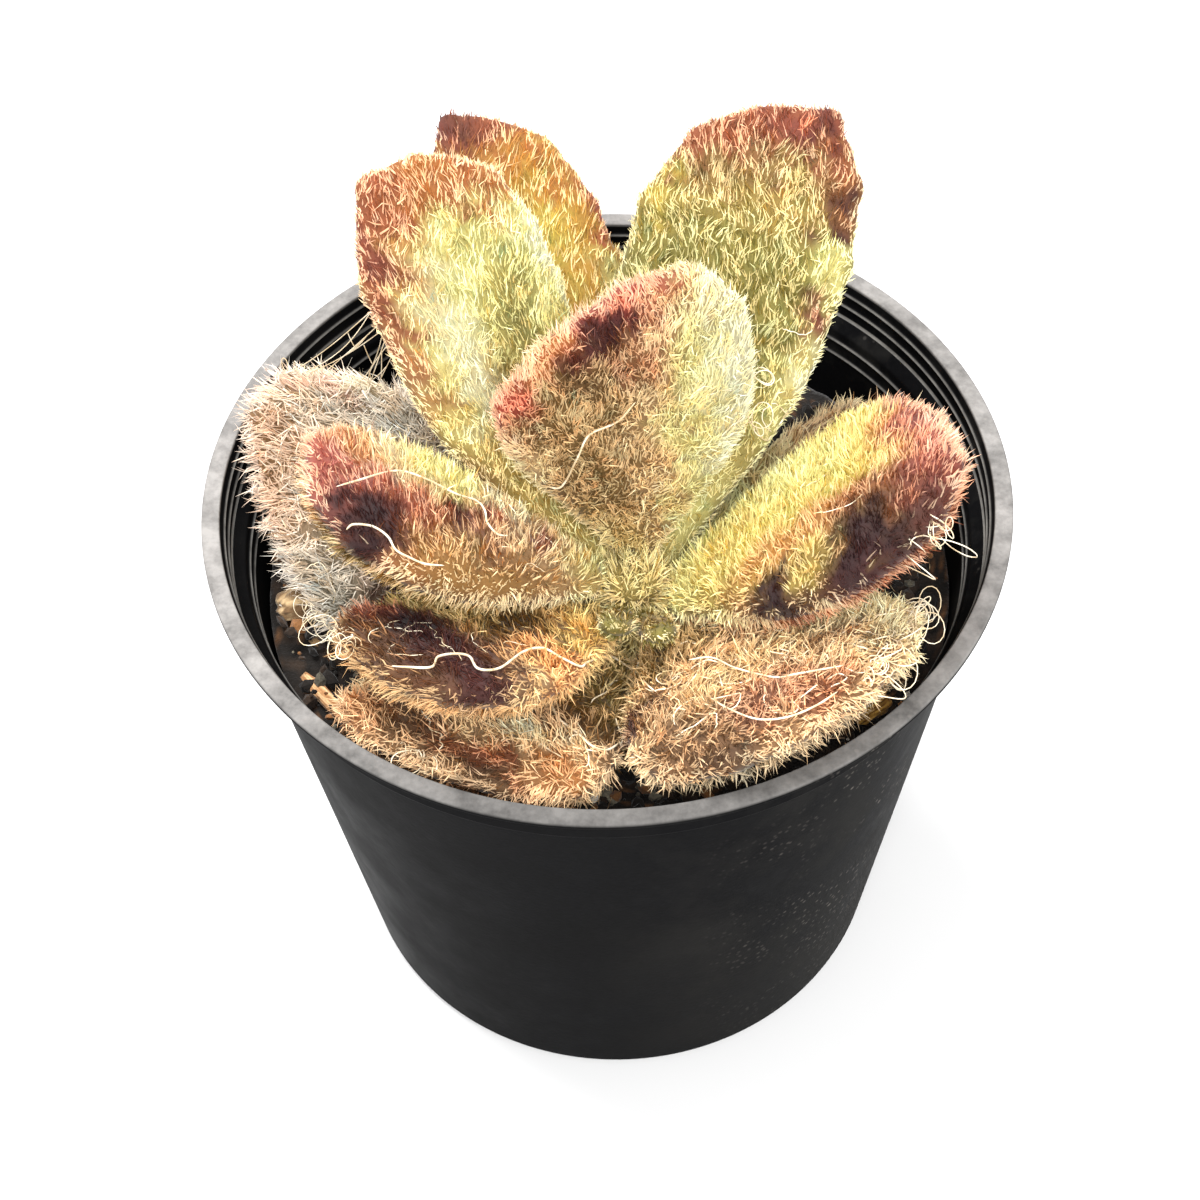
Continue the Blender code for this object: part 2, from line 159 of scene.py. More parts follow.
def lathe(profile, sides, middle=(0, 0)):
    # a profile of radius and height in mm turned round an upright axis: x = r cos a, y = r sin a
    cosine, sine = circle(sides).T
    radius = profile[:, :1]
    level = np.broadcast_to(profile[:, 1:], (len(profile), sides))
    points = np.stack([middle[0] + radius * cosine, middle[1] + radius * sine, level], -1)
    return points.reshape(-1, 3) * mm, gridFaces(len(profile), sides, wrap=True)


def buildPiece(name, points, faces, material, smooth=True, colours=None, bakeMap=None):
    # arrays into a mesh object at the origin, on the plant's one body
    mesh = bpy.data.meshes.new(name)
    mesh.vertices.add(len(points))
    mesh.vertices.foreach_set("co", np.asarray(points, np.float32).ravel())
    mesh.loops.add(3 * len(faces))
    mesh.loops.foreach_set("vertex_index", np.asarray(faces, np.int32).ravel())
    mesh.polygons.add(len(faces))
    mesh.polygons.foreach_set("loop_start", np.arange(0, 3 * len(faces), 3, dtype=np.int32))
    mesh.update(calc_edges=True)
    mesh.polygons.foreach_set("use_smooth", np.full(len(faces), smooth))
    if colours is not None:
        paint = mesh.attributes.new("paint", "FLOAT_COLOR", "POINT")
        solid = np.column_stack([colours, np.ones(len(colours))])
        paint.data.foreach_set("color", solid.astype(np.float32).ravel())
    if bakeMap is not None:
        layer = mesh.uv_layers.new(name="OFBake")  # the map that an export paints the colours on
        layer.uv.foreach_set("vector", np.asarray(bakeMap, np.float32)[faces.ravel()].ravel())
    mesh.validate()
    mesh.materials.append(material)
    piece = addObject(name, mesh)
    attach(piece, "root")
    return piece


# Materials

def newGroup(name, inputs, outputs):
    # a shader node group with named sockets; each input is (name, kind, default)
    group = bpy.data.node_groups.new(name, "ShaderNodeTree")
    for label, kind, default in inputs:
        made = group.interface.new_socket(name=label, in_out="INPUT", socket_type=kind)
        made.default_value = default
    for label, kind in outputs:
        group.interface.new_socket(name=label, in_out="OUTPUT", socket_type=kind)
    return group, group.nodes.new("NodeGroupInput"), group.nodes.new("NodeGroupOutput")


def noiseNode(tree, place, scale, detail, roughness=0.6):
    # layers of noise at a place, each twice as fine as the last and roughness times as strong
    node = tree.nodes.new("ShaderNodeTexNoise")
    tree.links.new(place, node.inputs["Vector"])
    node.inputs["Scale"].default_value = scale
    node.inputs["Detail"].default_value = detail
    node.inputs["Roughness"].default_value = roughness
    return node.outputs[0]


def rampNode(tree, value, low, high, start=0.0, end=1.0):
    # start below low, end above high, and a straight line between
    node = tree.nodes.new("ShaderNodeMapRange")
    tree.links.new(value, node.inputs[0])
    node.inputs["From Min"].default_value = low
    node.inputs["From Max"].default_value = high
    node.inputs["To Min"].default_value = start
    node.inputs["To Max"].default_value = end
    return node.outputs[0]


def mathNode(tree, operation, *values):
    # one operation on one or two values, each a number or a socket
    node = tree.nodes.new("ShaderNodeMath")
    node.operation = operation
    for place, value in enumerate(values):
        if isinstance(value, (int, float)):
            node.inputs[place].default_value = value
        else:
            tree.links.new(value, node.inputs[place])
    return node.outputs[0]


def product(tree, *values):
    # the values multiplied together, from left to right
    result = values[0]
    for value in values[1:]:
        result = mathNode(tree, "MULTIPLY", result, value)
    return result


def mixColours(tree, share, first, second, kind="MIX"):
    # first * (1 - share) + second * share, or for MULTIPLY first times second; each a colour or a socket
    node = tree.nodes.new("ShaderNodeMix")
    node.data_type = "RGBA"
    node.blend_type = kind
    for socket, value in ((node.inputs[0], share), (node.inputs[6], first), (node.inputs[7], second)):
        if isinstance(value, bpy.types.NodeSocket):
            tree.links.new(value, socket)
        elif isinstance(value, (int, float)):
            socket.default_value = value
        else:
            socket.default_value = (*screenColour(value), 1)
    return node.outputs[2]


def mottleGroup():
    # Patches and fine grain laid over a colour, and a height for a bump. The height is 0.55 patch + 0.45
    # grain, and the colour is multiplied by 1 + 4 depth (height - 0.5).
    group, into, out = newGroup(
        "mottle",
        [("Colour", "NodeSocketColor", (0.5, 0.5, 0.5, 1)), ("Patch Scale", "NodeSocketFloat", 300.0),
         ("Grain Scale", "NodeSocketFloat", 2500.0), ("Depth", "NodeSocketFloat", 0.3)],
        [("Colour", "NodeSocketColor"), ("Height", "NodeSocketFloat")],
    )
    place = group.nodes.new("ShaderNodeTexCoord").outputs["Object"]
    patch, grain = noiseNode(group, place, 300, 4), noiseNode(group, place, 2500, 2)
    for noise, label in ((patch, "Patch Scale"), (grain, "Grain Scale")):
        group.links.new(into.outputs[label], noise.node.inputs["Scale"])
    height = mathNode(group, "ADD", product(group, patch, 0.55), product(group, grain, 0.45))
    swing = product(group, mathNode(group, "SUBTRACT", height, 0.5), into.outputs["Depth"], 4)
    bright = mathNode(group, "ADD", swing, 1)
    shade = group.nodes.new("ShaderNodeCombineColor")
    for label in ("Red", "Green", "Blue"):
        group.links.new(bright, shade.inputs[label])
    shaded = mixColours(group, 1.0, into.outputs["Colour"], shade.outputs[0], "MULTIPLY")
    group.links.new(shaded, out.inputs["Colour"])
    group.links.new(height, out.inputs["Height"])
    return group


def newMaterial(name, roughness, sheen=0.0, specular=0.5):
    # a material with one Principled shader; returns it, its node tree and the shader
    material = bpy.data.materials.new(name)
    material.use_nodes = True
    shader = material.node_tree.nodes["Principled BSDF"]
    shader.inputs["Roughness"].default_value = roughness
    shader.inputs["Specular IOR Level"].default_value = specular
    shader.inputs["Sheen Weight"].default_value = sheen
    return material, material.node_tree, shader


def bumpFrom(tree, shader, height, strength, distance):
    # the height tilts the surface: strength from 0 to 1, and distance in metres where the height is 1
    bump = tree.nodes.new("ShaderNodeBump")
    bump.inputs["Strength"].default_value = strength
    bump.inputs["Distance"].default_value = distance
    tree.links.new(height, bump.inputs["Height"])
    tree.links.new(bump.outputs[0], shader.inputs["Normal"])


def mottled(tree, mottle, colour, patch, grain, depth):
    # the mottle group over a painted attribute or one colour
    node = tree.nodes.new("ShaderNodeGroup")
    node.node_tree = mottle
    node.inputs["Patch Scale"].default_value = patch
    node.inputs["Grain Scale"].default_value = grain
    node.inputs["Depth"].default_value = depth
    if colour == "paint":
        painted = tree.nodes.new("ShaderNodeAttribute")
        painted.attribute_name = "paint"
        tree.links.new(painted.outputs["Color"], node.inputs["Colour"])
    else:
        node.inputs["Colour"].default_value = (*screenColour(colour), 1)
    return node


def feltMaterial(name, mottle, patch=260, grain=2600, depth=0.32, bump=0.5, roughness=0.8):
    # painted skin under the hairs: soft patches, fine grain and a low bump
    material, tree, shader = newMaterial(name, roughness, sheen=0.15, specular=0.25)
    node = mottled(tree, mottle, "paint", patch, grain, depth)
    tree.links.new(node.outputs["Colour"], shader.inputs["Base Color"])
    bumpFrom(tree, shader, node.outputs["Height"], bump, 0.0004)
    return material


def hairMaterial(name, mottle):
    # hairs take the colour painted on their points, a little mottled
    material, tree, shader = newMaterial(name, 0.55, specular=0.3)
    node = mottled(tree, mottle, "paint", 500, 4000, 0.2)
    tree.links.new(node.outputs["Colour"], shader.inputs["Base Color"])
    return material


# Camera, set at the photograph's place

camera = dict(  # distance, aside (to the right), along (up the picture) and aim (height) in mm
    elevation=51.187, turn=-2.333, distance=256.176, aside=-1.165, along=-12.685, lens=69.036, aim=72,
)


def placeCamera():
    # the camera looks along +Y and down; turn rolls it about its own line of sight
    tilt = math.radians(camera["elevation"])
    back = Vector((0, -math.cos(tilt), math.sin(tilt)))
    right = Vector((1, 0, 0))
    up = Vector((0, math.sin(tilt), math.cos(tilt)))
    roll = math.radians(camera["turn"])
    across = right * math.cos(roll) + up * math.sin(roll)
    above = up * math.cos(roll) - right * math.sin(roll)
    place = back * camera["distance"] + right * camera["aside"] + up * camera["along"]
    data = bpy.data.cameras.new("view")
    data.lens = camera["lens"]
    data.sensor_width = 36
    data.clip_start = 0.01
    data.clip_end = 20
    view = addObject("view", data)
    turned = Matrix((across, above, back)).transposed().to_4x4()
    view.matrix_world = Matrix.Translation(place * mm + Vector((0, 0, camera["aim"] * mm))) @ turned
    bpy.context.scene.camera = view


# Floor and light

studio = dict(
    floorColour=(224, 224, 224), floorHalf=1600, floorDrop=0.5, skyStrength=0.68, lampAim=60,
    lamps=[
        # name, place in mm, size in mm, watts
        ("key", (-160, 160, 640), 360, 6.5),
        ("front", (80, -430, 520), 420, 5.4),
    ],
)


def setStudio(mottle):
    # a flat square floor just under the pot, an even white sky and two round lamps that face the plant
    rows = 24
    reach = np.linspace(-1, 1, rows) * studio["floorHalf"]
    x, y = np.meshgrid(reach, reach)
    points = np.stack([x.ravel(), y.ravel(), np.full(x.size, -studio["floorDrop"])], 1) * mm
    material, tree, shader = newMaterial("studio_floor", 0.9, specular=0.1)
    node = mottled(tree, mottle, studio["floorColour"], 8, 60, 0.004)
    tree.links.new(node.outputs["Colour"], shader.inputs["Base Color"])
    mesh = bpy.data.meshes.new("floor")
    mesh.from_pydata(points.tolist(), [], gridFaces(rows, rows).tolist())
    mesh.materials.append(material)
    addObject("floor", mesh)

    world = bpy.data.worlds.new("studio")
    world.use_nodes = True
    world.node_tree.nodes["Background"].inputs["Color"].default_value = (1, 1, 1, 1)
    world.node_tree.nodes["Background"].inputs["Strength"].default_value = studio["skyStrength"]
    bpy.context.scene.world = world
    for name, place, size, watts in studio["lamps"]:
        data = bpy.data.lights.new(name, "AREA")
        data.shape = "DISK"
        data.size = size * mm
        data.energy = watts
        lamp = addObject(name, data)
        lamp.location = Vector(place) * mm
        aim = Vector((0, 0, studio["lampAim"] * mm)) - lamp.location
        lamp.rotation_euler = aim.to_track_quat("-Z", "Y").to_euler()
    bpy.context.scene.view_settings.view_transform = "Standard"
    bpy.context.scene.view_settings.look = "None"


# Pot

pot = dict(
    height=72, rimRadius=45, rimWidth=2.0, rimDepth=0.9, collarRadius=43.3, collarDepth=5, collarStep=1.2,
    wallTop=42.0, footRadius=33.5, footRound=1.2, footWidth=2.6, footDepth=2.2, wall=0.9, floor=1.2,
    ridges=(62.6, 64.5, 68.7, 70.4), ridgeSize=0.35, sides=200, drainRadius=3, drainCircle=21, drains=6,
    # the crest colour is partly rubbed wear and partly painted highlight; the worn colour is partly wear and
    # partly painted reflection
    plastic=(13, 13, 14), wornAndSheen=(44, 43, 41), rimDust=(144, 141, 138), crest=(120, 118, 114),
    speck=(128, 122, 116), ior=1.2,
)
potWear = dict(
    # A pair is where a layer (wear, dust, painted highlight, painted reflection) begins and where it is full:
    # values of noise, or places in mm. Least is what stays of it before it begins. gloss: noise from and to,
    # and the roughness there.
    rubScale=45, rubbed=(0.42, 0.72), rubAndSheenFrom=(-5, 32), rubAndSheenLeast=0.15, gloss=(0.3, 0.75, 0.36, 0.6),
    splashScale=70, splashed=(0.47, 0.62), splashFrom=(8, 30),
    specks=((420, 0.14, 0.6), (1000, 0.3, 0.35)),  # scale, reach in its cell, strength
    streakScale=260, streaked=(0.34, 0.64), dustDeep=(0.45, 0.1), rimFrontToBack=(-45, -22), dustLeast=0.45,
    crestWide=(0.26, 0.1),
    collarOut=1.1,  # how much further out the middle of the wall is in the collar
)


def wallRadius(height):
    # a straight line from the foot's radius to the wall's top
    top = pot["height"] - pot["collarDepth"]
    return pot["footRadius"] + (pot["wallTop"] - pot["footRadius"]) * height / top


def innerRadius(height):
    # the wall's inner side below the collar, and a straight flare from the collar's foot to the rim
    share = (height - pot["height"] + pot["collarDepth"]) / pot["collarDepth"]
    if share < 0:
        return wallRadius(height) - pot["wall"]
    return (pot["collarRadius"] - pot["wall"]) * (1 - share) + (pot["rimRadius"] - pot["rimWidth"]) * share


def roundedPath(corners, steps=4):
    # each corner (radius, height, rounding) becomes a short arc that touches both of its sides
    points = []
    for i, (x, z, size) in enumerate(corners):
        here = np.array([x, z])
        if size == 0 or i in (0, len(corners) - 1):
            points.append(here)
            continue
        before = np.array(corners[i - 1][:2]) - here
        after = np.array(corners[i + 1][:2]) - here
        start = here + before / np.linalg.norm(before) * size
        end = here + after / np.linalg.norm(after) * size
        t = np.linspace(0, 1, steps + 1)[:, None]
        points += list((1 - t) ** 2 * start + 2 * t * (1 - t) * here + t ** 2 * end)
    return np.array(points)


def potProfile():
    # centre of the floor, up the inside with its ridges, over the rim, down the outside to the foot
    p = pot
    top = p["height"] - p["collarDepth"]
    step = top - p["collarStep"]
    floorTop = p["footDepth"] + p["floor"]
    inside = ((floorTop, 0.8), (step, 0.25), (top, 0.25), (p["height"], 0.2))
    corners = [(innerRadius(height), height, size) for height, size in inside]
    size = p["ridgeSize"]
    ridge = ((-size, 0, 0.12), (0, size, 0.16), (size, 0, 0.12))  # how high, how proud and how rounded
    for middle in p["ridges"]:
        corners += [(innerRadius(middle + up) - proud, middle + up, around) for up, proud, around in ridge]
    corners.sort(key=lambda corner: corner[1])
    corners = [(0, floorTop, 0)] + corners + [
        (p["rimRadius"], p["height"], 0.28),
        (p["rimRadius"], p["height"] - p["rimDepth"], 0.25),
        (p["collarRadius"], p["height"] - p["rimDepth"], 0.2),
        (p["collarRadius"], top, 0.3),
        (wallRadius(step), step, 0.3),
        (wallRadius(0), 0, p["footRound"]),
        (p["footRadius"] - p["footRound"] - p["footWidth"], 0, 0.3),
        (p["footRadius"] - p["footRound"] - p["footWidth"] - 0.6, p["footDepth"], 0.3),
        (0, p["footDepth"], 0),
    ]
    return roundedPath(corners)


def potMaterial(mottle):
    # Black plastic, mixed with one layer of wear, dust and painted light after another. The share of each is
    # a product of ramps of noise and of the place: x to the right, y away from the front, z up, and the
    # radius.
    p, w = pot, potWear
    material, tree, shader = newMaterial("pot_plastic", 0.45, specular=0.03)
    shader.inputs["IOR"].default_value = p["ior"]
    place = tree.nodes.new("ShaderNodeTexCoord").outputs["Object"]
    node = mottled(tree, mottle, p["plastic"], 60, 1800, 0.35)
    split = tree.nodes.new("ShaderNodeSeparateXYZ")
    tree.links.new(place, split.inputs[0])
    x, y, z = split.outputs
    radius = mathNode(tree, "SQRT", mathNode(tree, "ADD", product(tree, x, x), product(tree, y, y)))

    # inner is 1 where the radius is less than that of the middle of the wall, which leans out as it rises
    top = p["height"] - p["collarDepth"]
    lean = (p["wallTop"] - p["footRadius"]) / top
    middle = p["footRadius"] - p["wall"] / 2
    line = rampNode(tree, z, (top - 0.4) * mm, top * mm, middle * mm, (middle + w["collarOut"]) * mm)
    upright = mathNode(tree, "SUBTRACT", radius, product(tree, z, lean))
    inner = mathNode(tree, "LESS_THAN", upright, line)

    # rubbed patches, more of them on the right, where the paler plastic is partly real wear and dust and
    # partly painted reflection
    rub = noiseNode(tree, place, w["rubScale"], 5, 0.7)
    rightWearAndSheen = rampNode(tree, x, *(end * mm for end in w["rubAndSheenFrom"]), w["rubAndSheenLeast"], 1)
    share = product(tree, rampNode(tree, rub, *w["rubbed"]), rightWearAndSheen)
    colour = mixColours(tree, share, node.outputs["Colour"], p["wornAndSheen"])

    # pale specks of splashed soil outside on the right, a few large ones and many fine ones
    some = rampNode(tree, noiseNode(tree, place, w["splashScale"], 2), *w["splashed"])
    right = rampNode(tree, x, *(end * mm for end in w["splashFrom"]))
    splashed = product(tree, some, right, mathNode(tree, "SUBTRACT", 1, inner))
    for scale, reach, strength in w["specks"]:
        specks = tree.nodes.new("ShaderNodeTexVoronoi")
        specks.inputs["Scale"].default_value = scale
        tree.links.new(place, specks.inputs["Vector"])
        small = rampNode(tree, specks.outputs["Distance"], reach, reach / 2)
        colour = mixColours(tree, product(tree, small, splashed, strength), colour, p["speck"])

    # dust and wear on the rim's top, streaked round it, and darker towards the front
    over = rampNode(tree, z, *((p["height"] - deep) * mm for deep in w["dustDeep"]))
    streak = noiseNode(tree, place, w["streakScale"], 5, 0.7)
    uneven = rampNode(tree, streak, *w["streaked"], w["dustLeast"], 1)
    behind = rampNode(tree, y, *(end * mm for end in w["rimFrontToBack"]), w["dustLeast"], 1)
    colour = mixColours(tree, product(tree, over, uneven, behind), colour, p["rimDust"])

    # the crests of the inner ridges are painted pale where the height is near one, partly as rubbed wear and
    # partly as painted highlights
    nearest = None
    for height in (*p["ridges"], top):
        away = mathNode(tree, "ABSOLUTE", mathNode(tree, "SUBTRACT", z, height * mm))
        nearest = away if nearest is None else mathNode(tree, "MINIMUM", nearest, away)
    crest = rampNode(tree, nearest, *(wide * mm for wide in w["crestWide"]))
    colour = mixColours(tree, product(tree, crest, inner, uneven), colour, p["crest"])
    tree.links.new(colour, shader.inputs["Base Color"])
    tree.links.new(rampNode(tree, rub, *w["gloss"]), shader.inputs["Roughness"])
    bumpFrom(tree, shader, node.outputs["Height"], 0.18, 0.0002)
    return material


def makePot(mottle):
    # the profile on the lathe, less an upright cylinder for each drain hole
    points, faces, _ = mergePoints(*lathe(potProfile(), pot["sides"]), [])
    piece = buildPiece("pot_moulded", points, outward(points, faces), potMaterial(mottle))
    piece.data.set_sharp_from_angle(angle=math.radians(50))
    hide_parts("pot")

    # drain holes, one in the middle and a ring of them, cut through the floor and applied
    places = [(0, 0)]
    for i in range(pot["drains"]):
        angle = math.tau * (i + 0.5) / pot["drains"]
        places.append((pot["drainCircle"] * math.cos(angle), pot["drainCircle"] * math.sin(angle)))
    sides, reach = 32, 3
    middle = pot["footDepth"] + pot["floor"] / 2
    heights = (middle - reach, middle - reach, middle + reach, middle + reach)
    hole = pot["drainRadius"] * circle(sides)
    cylinders = []
    for place in places:
        rings = [ring + place for ring in (hole * 0, hole, hole, hole * 0)]
        points = np.concatenate([atHeight(*row) for row in zip(rings, heights)]) * mm
        cylinders.append((points, gridFaces(4, sides, wrap=True)))
    cutPoints, cutFaces, _ = mergePoints(*joined(cylinders), [])
    mesh = bpy.data.meshes.new("drains")
    mesh.from_pydata(cutPoints.tolist(), [], outward(cutPoints, cutFaces).tolist())
    cutter = addObject("drains", mesh)
    cut = piece.modifiers.new("drains", "BOOLEAN")
    cut.object = cutter
    cut.solver = "EXACT"
    bpy.context.view_layer.update()
    whole = bpy.data.meshes.new_from_object(piece.evaluated_get(bpy.context.evaluated_depsgraph_get()))
    piece.modifiers.clear()
    piece.data = whole
    bpy.data.objects.remove(cutter)


# Soil

soil = dict(
    top=56, bank=1.2, rings=60, sides=168, stem=(2.6, -11), hole=3.3, holeDepth=12.3, gap=0.3,
    crumbs=3500, crumbSizes=(0.4, 2.3), crumbStretch=(0.55, 1.25), crumbRough=(0.8, 1.15),
    crumbTone=(0.6, 1.3), crumbUp=0.12, wallRoom=1.6, stemRoom=1.2, seed=7,
    heapAt=3.2, heapWide=0.55, heapHeight=3.2, heapFrom=32,  # at and wide are angles in radians
    dark=(27, 23, 20), brown=(56, 43, 33), rust=(132, 90, 54), grey=(104, 98, 84), tan=(176, 142, 100),
    white=(230, 222, 208),
)
crumbShares = dict(dark=0.36, brown=0.34, rust=0.1, grey=0.11, tan=0.06, white=0.03)


def soilTop(x, y):
    # long waves, a bank along the left wall, and lumps of two sizes; x and y in mm
    waves = 0.5 * np.sin(x / 5.1 + 0.7) * np.cos(y / 6.3) + 0.3 * np.sin((x + y) / 3.2)
    bank = soil["bank"] * np.clip(-x / 38, 0, 1) ** 2
    flat = np.stack([x, y, np.zeros_like(x)], 1)
    return soil["top"] + 0.6 * waves + bank + 0.16 * ripples(flat, 3.0, 3) + 0.1 * ripples(flat, 1.1, 4)


def soilPaint(points, seed):
    # dark mix with brown and rust-coloured patches
    tone = ripples(points, 4 * mm, seed)
    patches = 0.8 * smoothStep(0.1, 1.1, tone)
    colours = blendIn(screenColour(soil["dark"]), screenColour(soil["brown"]), patches)
    spots = smoothStep(0.8, 1.3, ripples(points, 1.6 * mm, seed + 1))
    return blendIn(colours, screenColour(soil["rust"]), 0.5 * spots)


def makeSoil(mottle):
    # rings from the stem's hole out to the wall, then down the wall and in under the soil
    s = soil
    around = circle(s["sides"])
    stem = np.array(s["stem"])
    bottom = pot["footDepth"] + pot["floor"] + s["gap"]
    deep = s["top"] - s["holeDepth"]
    rows = [atHeight(stem + around * out, deep) for out in (0, s["hole"])]
    edge = wallRadius(s["top"]) - pot["wall"] - s["gap"]
    for share in np.linspace(0, 1, s["rings"]):
        flat = (stem + around * s["hole"]) * (1 - share) + around * edge * share
        rows.append(atHeight(flat, soilTop(*flat.T)))
    foot = wallRadius(bottom) - pot["wall"] - s["gap"]
    rows += [atHeight(around * out, bottom) for out in (foot, 0)]
    points = np.concatenate(rows) * mm
    points, faces, _ = mergePoints(points, gridFaces(len(rows), s["sides"], wrap=True), [])
    material = feltMaterial("soil_mix", mottle, 350, 1800, 0.5, 1.0, 0.95)
    faces = outward(points, faces)
    piece = buildPiece("soil_bed", points, faces, material, colours=soilPaint(points, 21))
    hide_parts("soil")
    return material


def icosahedron():
    # 12 corners at (0, +-1, +-golden) and its turns, with the 20 faces that join nearest corners
    g = (1 + math.sqrt(5)) / 2
    corners = np.array([(0, a, b * g) for a in (1, -1) for b in (1, -1)]
                       + [(a, b * g, 0) for a in (1, -1) for b in (1, -1)]
                       + [(b * g, 0, a) for a in (1, -1) for b in (1, -1)], float)
    near = np.linalg.norm(corners[:, None] - corners[None], axis=2) < 2.1
    faces = [(i, j, k) for i in range(12) for j in range(i + 1, 12) for k in range(j + 1, 12)
             if near[i, j] and near[j, k] and near[i, k]]
    faces = np.array(faces)
    shape = corners[faces]
    normal = np.cross(shape[:, 1] - shape[:, 0], shape[:, 2] - shape[:, 0])
    inwards = np.einsum("ij,ij->i", normal, shape.mean(1)) < 0
    faces[inwards] = faces[inwards][:, ::-1]
    return corners / np.linalg.norm(corners[0]), faces


def turnsFrom(rng, count):
    # random rotation matrices, from unit quaternions
    w, x, y, z = unit(rng.normal(size=(count, 4))).T
    return np.stack([1 - 2 * (y * y + z * z), 2 * (x * y - z * w), 2 * (x * z + y * w),
                     2 * (x * y + z * w), 1 - 2 * (x * x + z * z), 2 * (y * z - x * w),
                     2 * (x * z - y * w), 2 * (y * z + x * w), 1 - 2 * (x * x + y * y)], 1).reshape(-1, 3, 3)


def makeCrumbs(material):
    # Each crumb is an icosahedron, stretched, roughened and turned, half sunk in the soil. By the left of the
    # wall they also lie on a low heap, a bell shape round the wall that fades inwards.
    s = soil
    rng = np.random.default_rng(s["seed"])
    count = s["crumbs"]
    corners, faces = icosahedron()
    edge = wallRadius(s["top"]) - pot["wall"] - s["wallRoom"]
    way = rng.uniform(0, math.tau, count)
    out = edge * np.sqrt(rng.uniform(0, 1, count))
    x, y = out * np.cos(way), out * np.sin(way)
    clear = np.hypot(x - s["stem"][0], y - s["stem"][1]) > s["hole"] + s["stemRoom"]
    x, y = x[clear], y[clear]
    count = len(x)
    size = s["crumbSizes"][0] + (s["crumbSizes"][1] - s["crumbSizes"][0]) * rng.uniform(0, 1, count) ** 2
    stretch = rng.uniform(*s["crumbStretch"], (count, 1, 3)) * size[:, None, None]
    rough = rng.uniform(*s["crumbRough"], (count, len(corners), 1))
    shapes = np.einsum("nij,nkj->nki", turnsFrom(rng, count), corners * rough * stretch / 2)
    turned = (way[clear] - s["heapAt"]) / s["heapWide"]
    heap = s["heapHeight"] * np.exp(-0.5 * turned ** 2) * smoothStep(s["heapFrom"], edge, np.hypot(x, y))
    buried = rng.uniform(0, 1, count) ** 0.5
    place = np.stack([x, y, soilTop(x, y) + s["crumbUp"] * size + heap * buried], 1)
    points = (shapes + place[:, None]).reshape(-1, 3) * mm
    allFaces = repeatFaces(faces, len(corners), count)
    paints = np.array([screenColour(s[tone]) for tone in crumbShares])
    pick = rng.choice(len(paints), count, p=list(crumbShares.values()))
    colours = np.repeat(paints[pick] * rng.uniform(*s["crumbTone"], (count, 1)), len(corners), 0)
    buildPiece("soil_crumbs", points, allFaces, material, smooth=False, colours=colours)


soilBits = {  # size in mm, the turn about the upright, and the colours of the crests and the hollows
    "bark_lump": dict(size=(6.2, 4.6, 3.6), turn=20, rough=0.1, crest=(206, 176, 132), hollow=(112, 86, 58)),
    "wood_stick": dict(size=(9.5, 1.8, 1.6), turn=-52, rough=0.05, crest=(238, 196, 146),
                       hollow=(160, 112, 70)),
    "bark_chip": dict(size=(5.4, 3.6, 1.8), turn=35, rough=0.09, crest=(214, 164, 78), hollow=(120, 78, 30)),
}


def makeSoilBits(mottle):
    # a closed lump on two angles, squared a little, with ripples along it, in its solid's box
    rows, columns = 26, 44
    for seed, (name, bit) in enumerate(soilBits.items()):
        low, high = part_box(name)
        centre = (np.array(low) + np.array(high)) / 2
        around = np.linspace(0, math.tau, columns, endpoint=False)
        a, b = np.meshgrid(np.linspace(0, math.pi, rows), around, indexing="ij")
        ball = np.stack([np.cos(a), np.sin(a) * np.cos(b), np.sin(a) * np.sin(b)], -1).reshape(-1, 3)
        ball = np.sign(ball) * np.abs(ball) ** 0.8
        ball *= (1 + bit["rough"] * ripples(ball * (1, 2.2, 2.2), 1.1, 40 + seed))[:, None]
        flat = ball * np.array(bit["size"]) * 0.47 * mm
        turn = math.radians(bit["turn"])
        points = centre + np.stack([flat[:, 0] * math.cos(turn) - flat[:, 1] * math.sin(turn),
                                    flat[:, 0] * math.sin(turn) + flat[:, 1] * math.cos(turn), flat[:, 2]], 1)
        tone = smoothStep(-0.6, 0.9, ripples(ball * (1, 4, 4), 1.6, 60 + seed))
        colours = blendIn(screenColour(bit["hollow"]), screenColour(bit["crest"]), tone)
        points, faces, (colours,) = mergePoints(points, gridFaces(rows, columns, wrap=True), [colours])
        material = feltMaterial(name + "_wood", mottle, 600, 3000, 0.4, 0.6, 0.85)
        piece = buildPiece(name + "_rough", points, outward(points, faces), material, colours=colours)
        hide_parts(name)


# Leaves

# What all leaves share: the gap to the stem; the outline's width at its base and where it is widest, as
# shares; how square its shoulder is; how far before the tip the midrib ends, in widths; the thickness of the
# base and the loss at the tip; how far each side is puffed; the width of a tooth; how much of a notch the
# felt fills, and how deep; and the points round the margin and the rings of a skin. Lengths are in mm.
leafForm = dict(
    gap=0.3, base=0.21, widest=0.62, shoulder=2.2, midribEnd=0.42, baseThickness=0.42, tipThinning=0.28,
    upper=0.8, lower=1.2, toothWidth=1.5, matted=0.5, matDepth=1.2, points=128, rings=12,
)
evenTeeth = ((-19, 0.8), (-12, 1.0), (-5, 1.0), (3, 0.9), (10, 1.0), (17, 0.8))
tones = dict(
    maroon=(62, 32, 32), plum=(92, 48, 44), redBrown=(142, 70, 54), red=(188, 74, 56), rose=(192, 106, 88),
    rust=(172, 94, 56), orange=(208, 132, 62), amber=(190, 142, 76), gold=(218, 166, 70),
    honey=(186, 156, 78), yellow=(236, 208, 96), straw=(222, 200, 118), paleYellow=(246, 234, 146),
    peach=(250, 214, 158), cream=(244, 226, 180), milk=(255, 248, 212), ivory=(255, 230, 176),
    fawn=(206, 166, 116), greyBeige=(176, 154, 124), stone=(138, 128, 106), sage=(158, 146, 70),
    olive=(124, 112, 48), oliveTan=(146, 116, 56), bronze=(152, 116, 62), moor=(112, 80, 34),
    tan=(170, 128, 84), brown=(122, 82, 50), umber=(82, 56, 42),
)

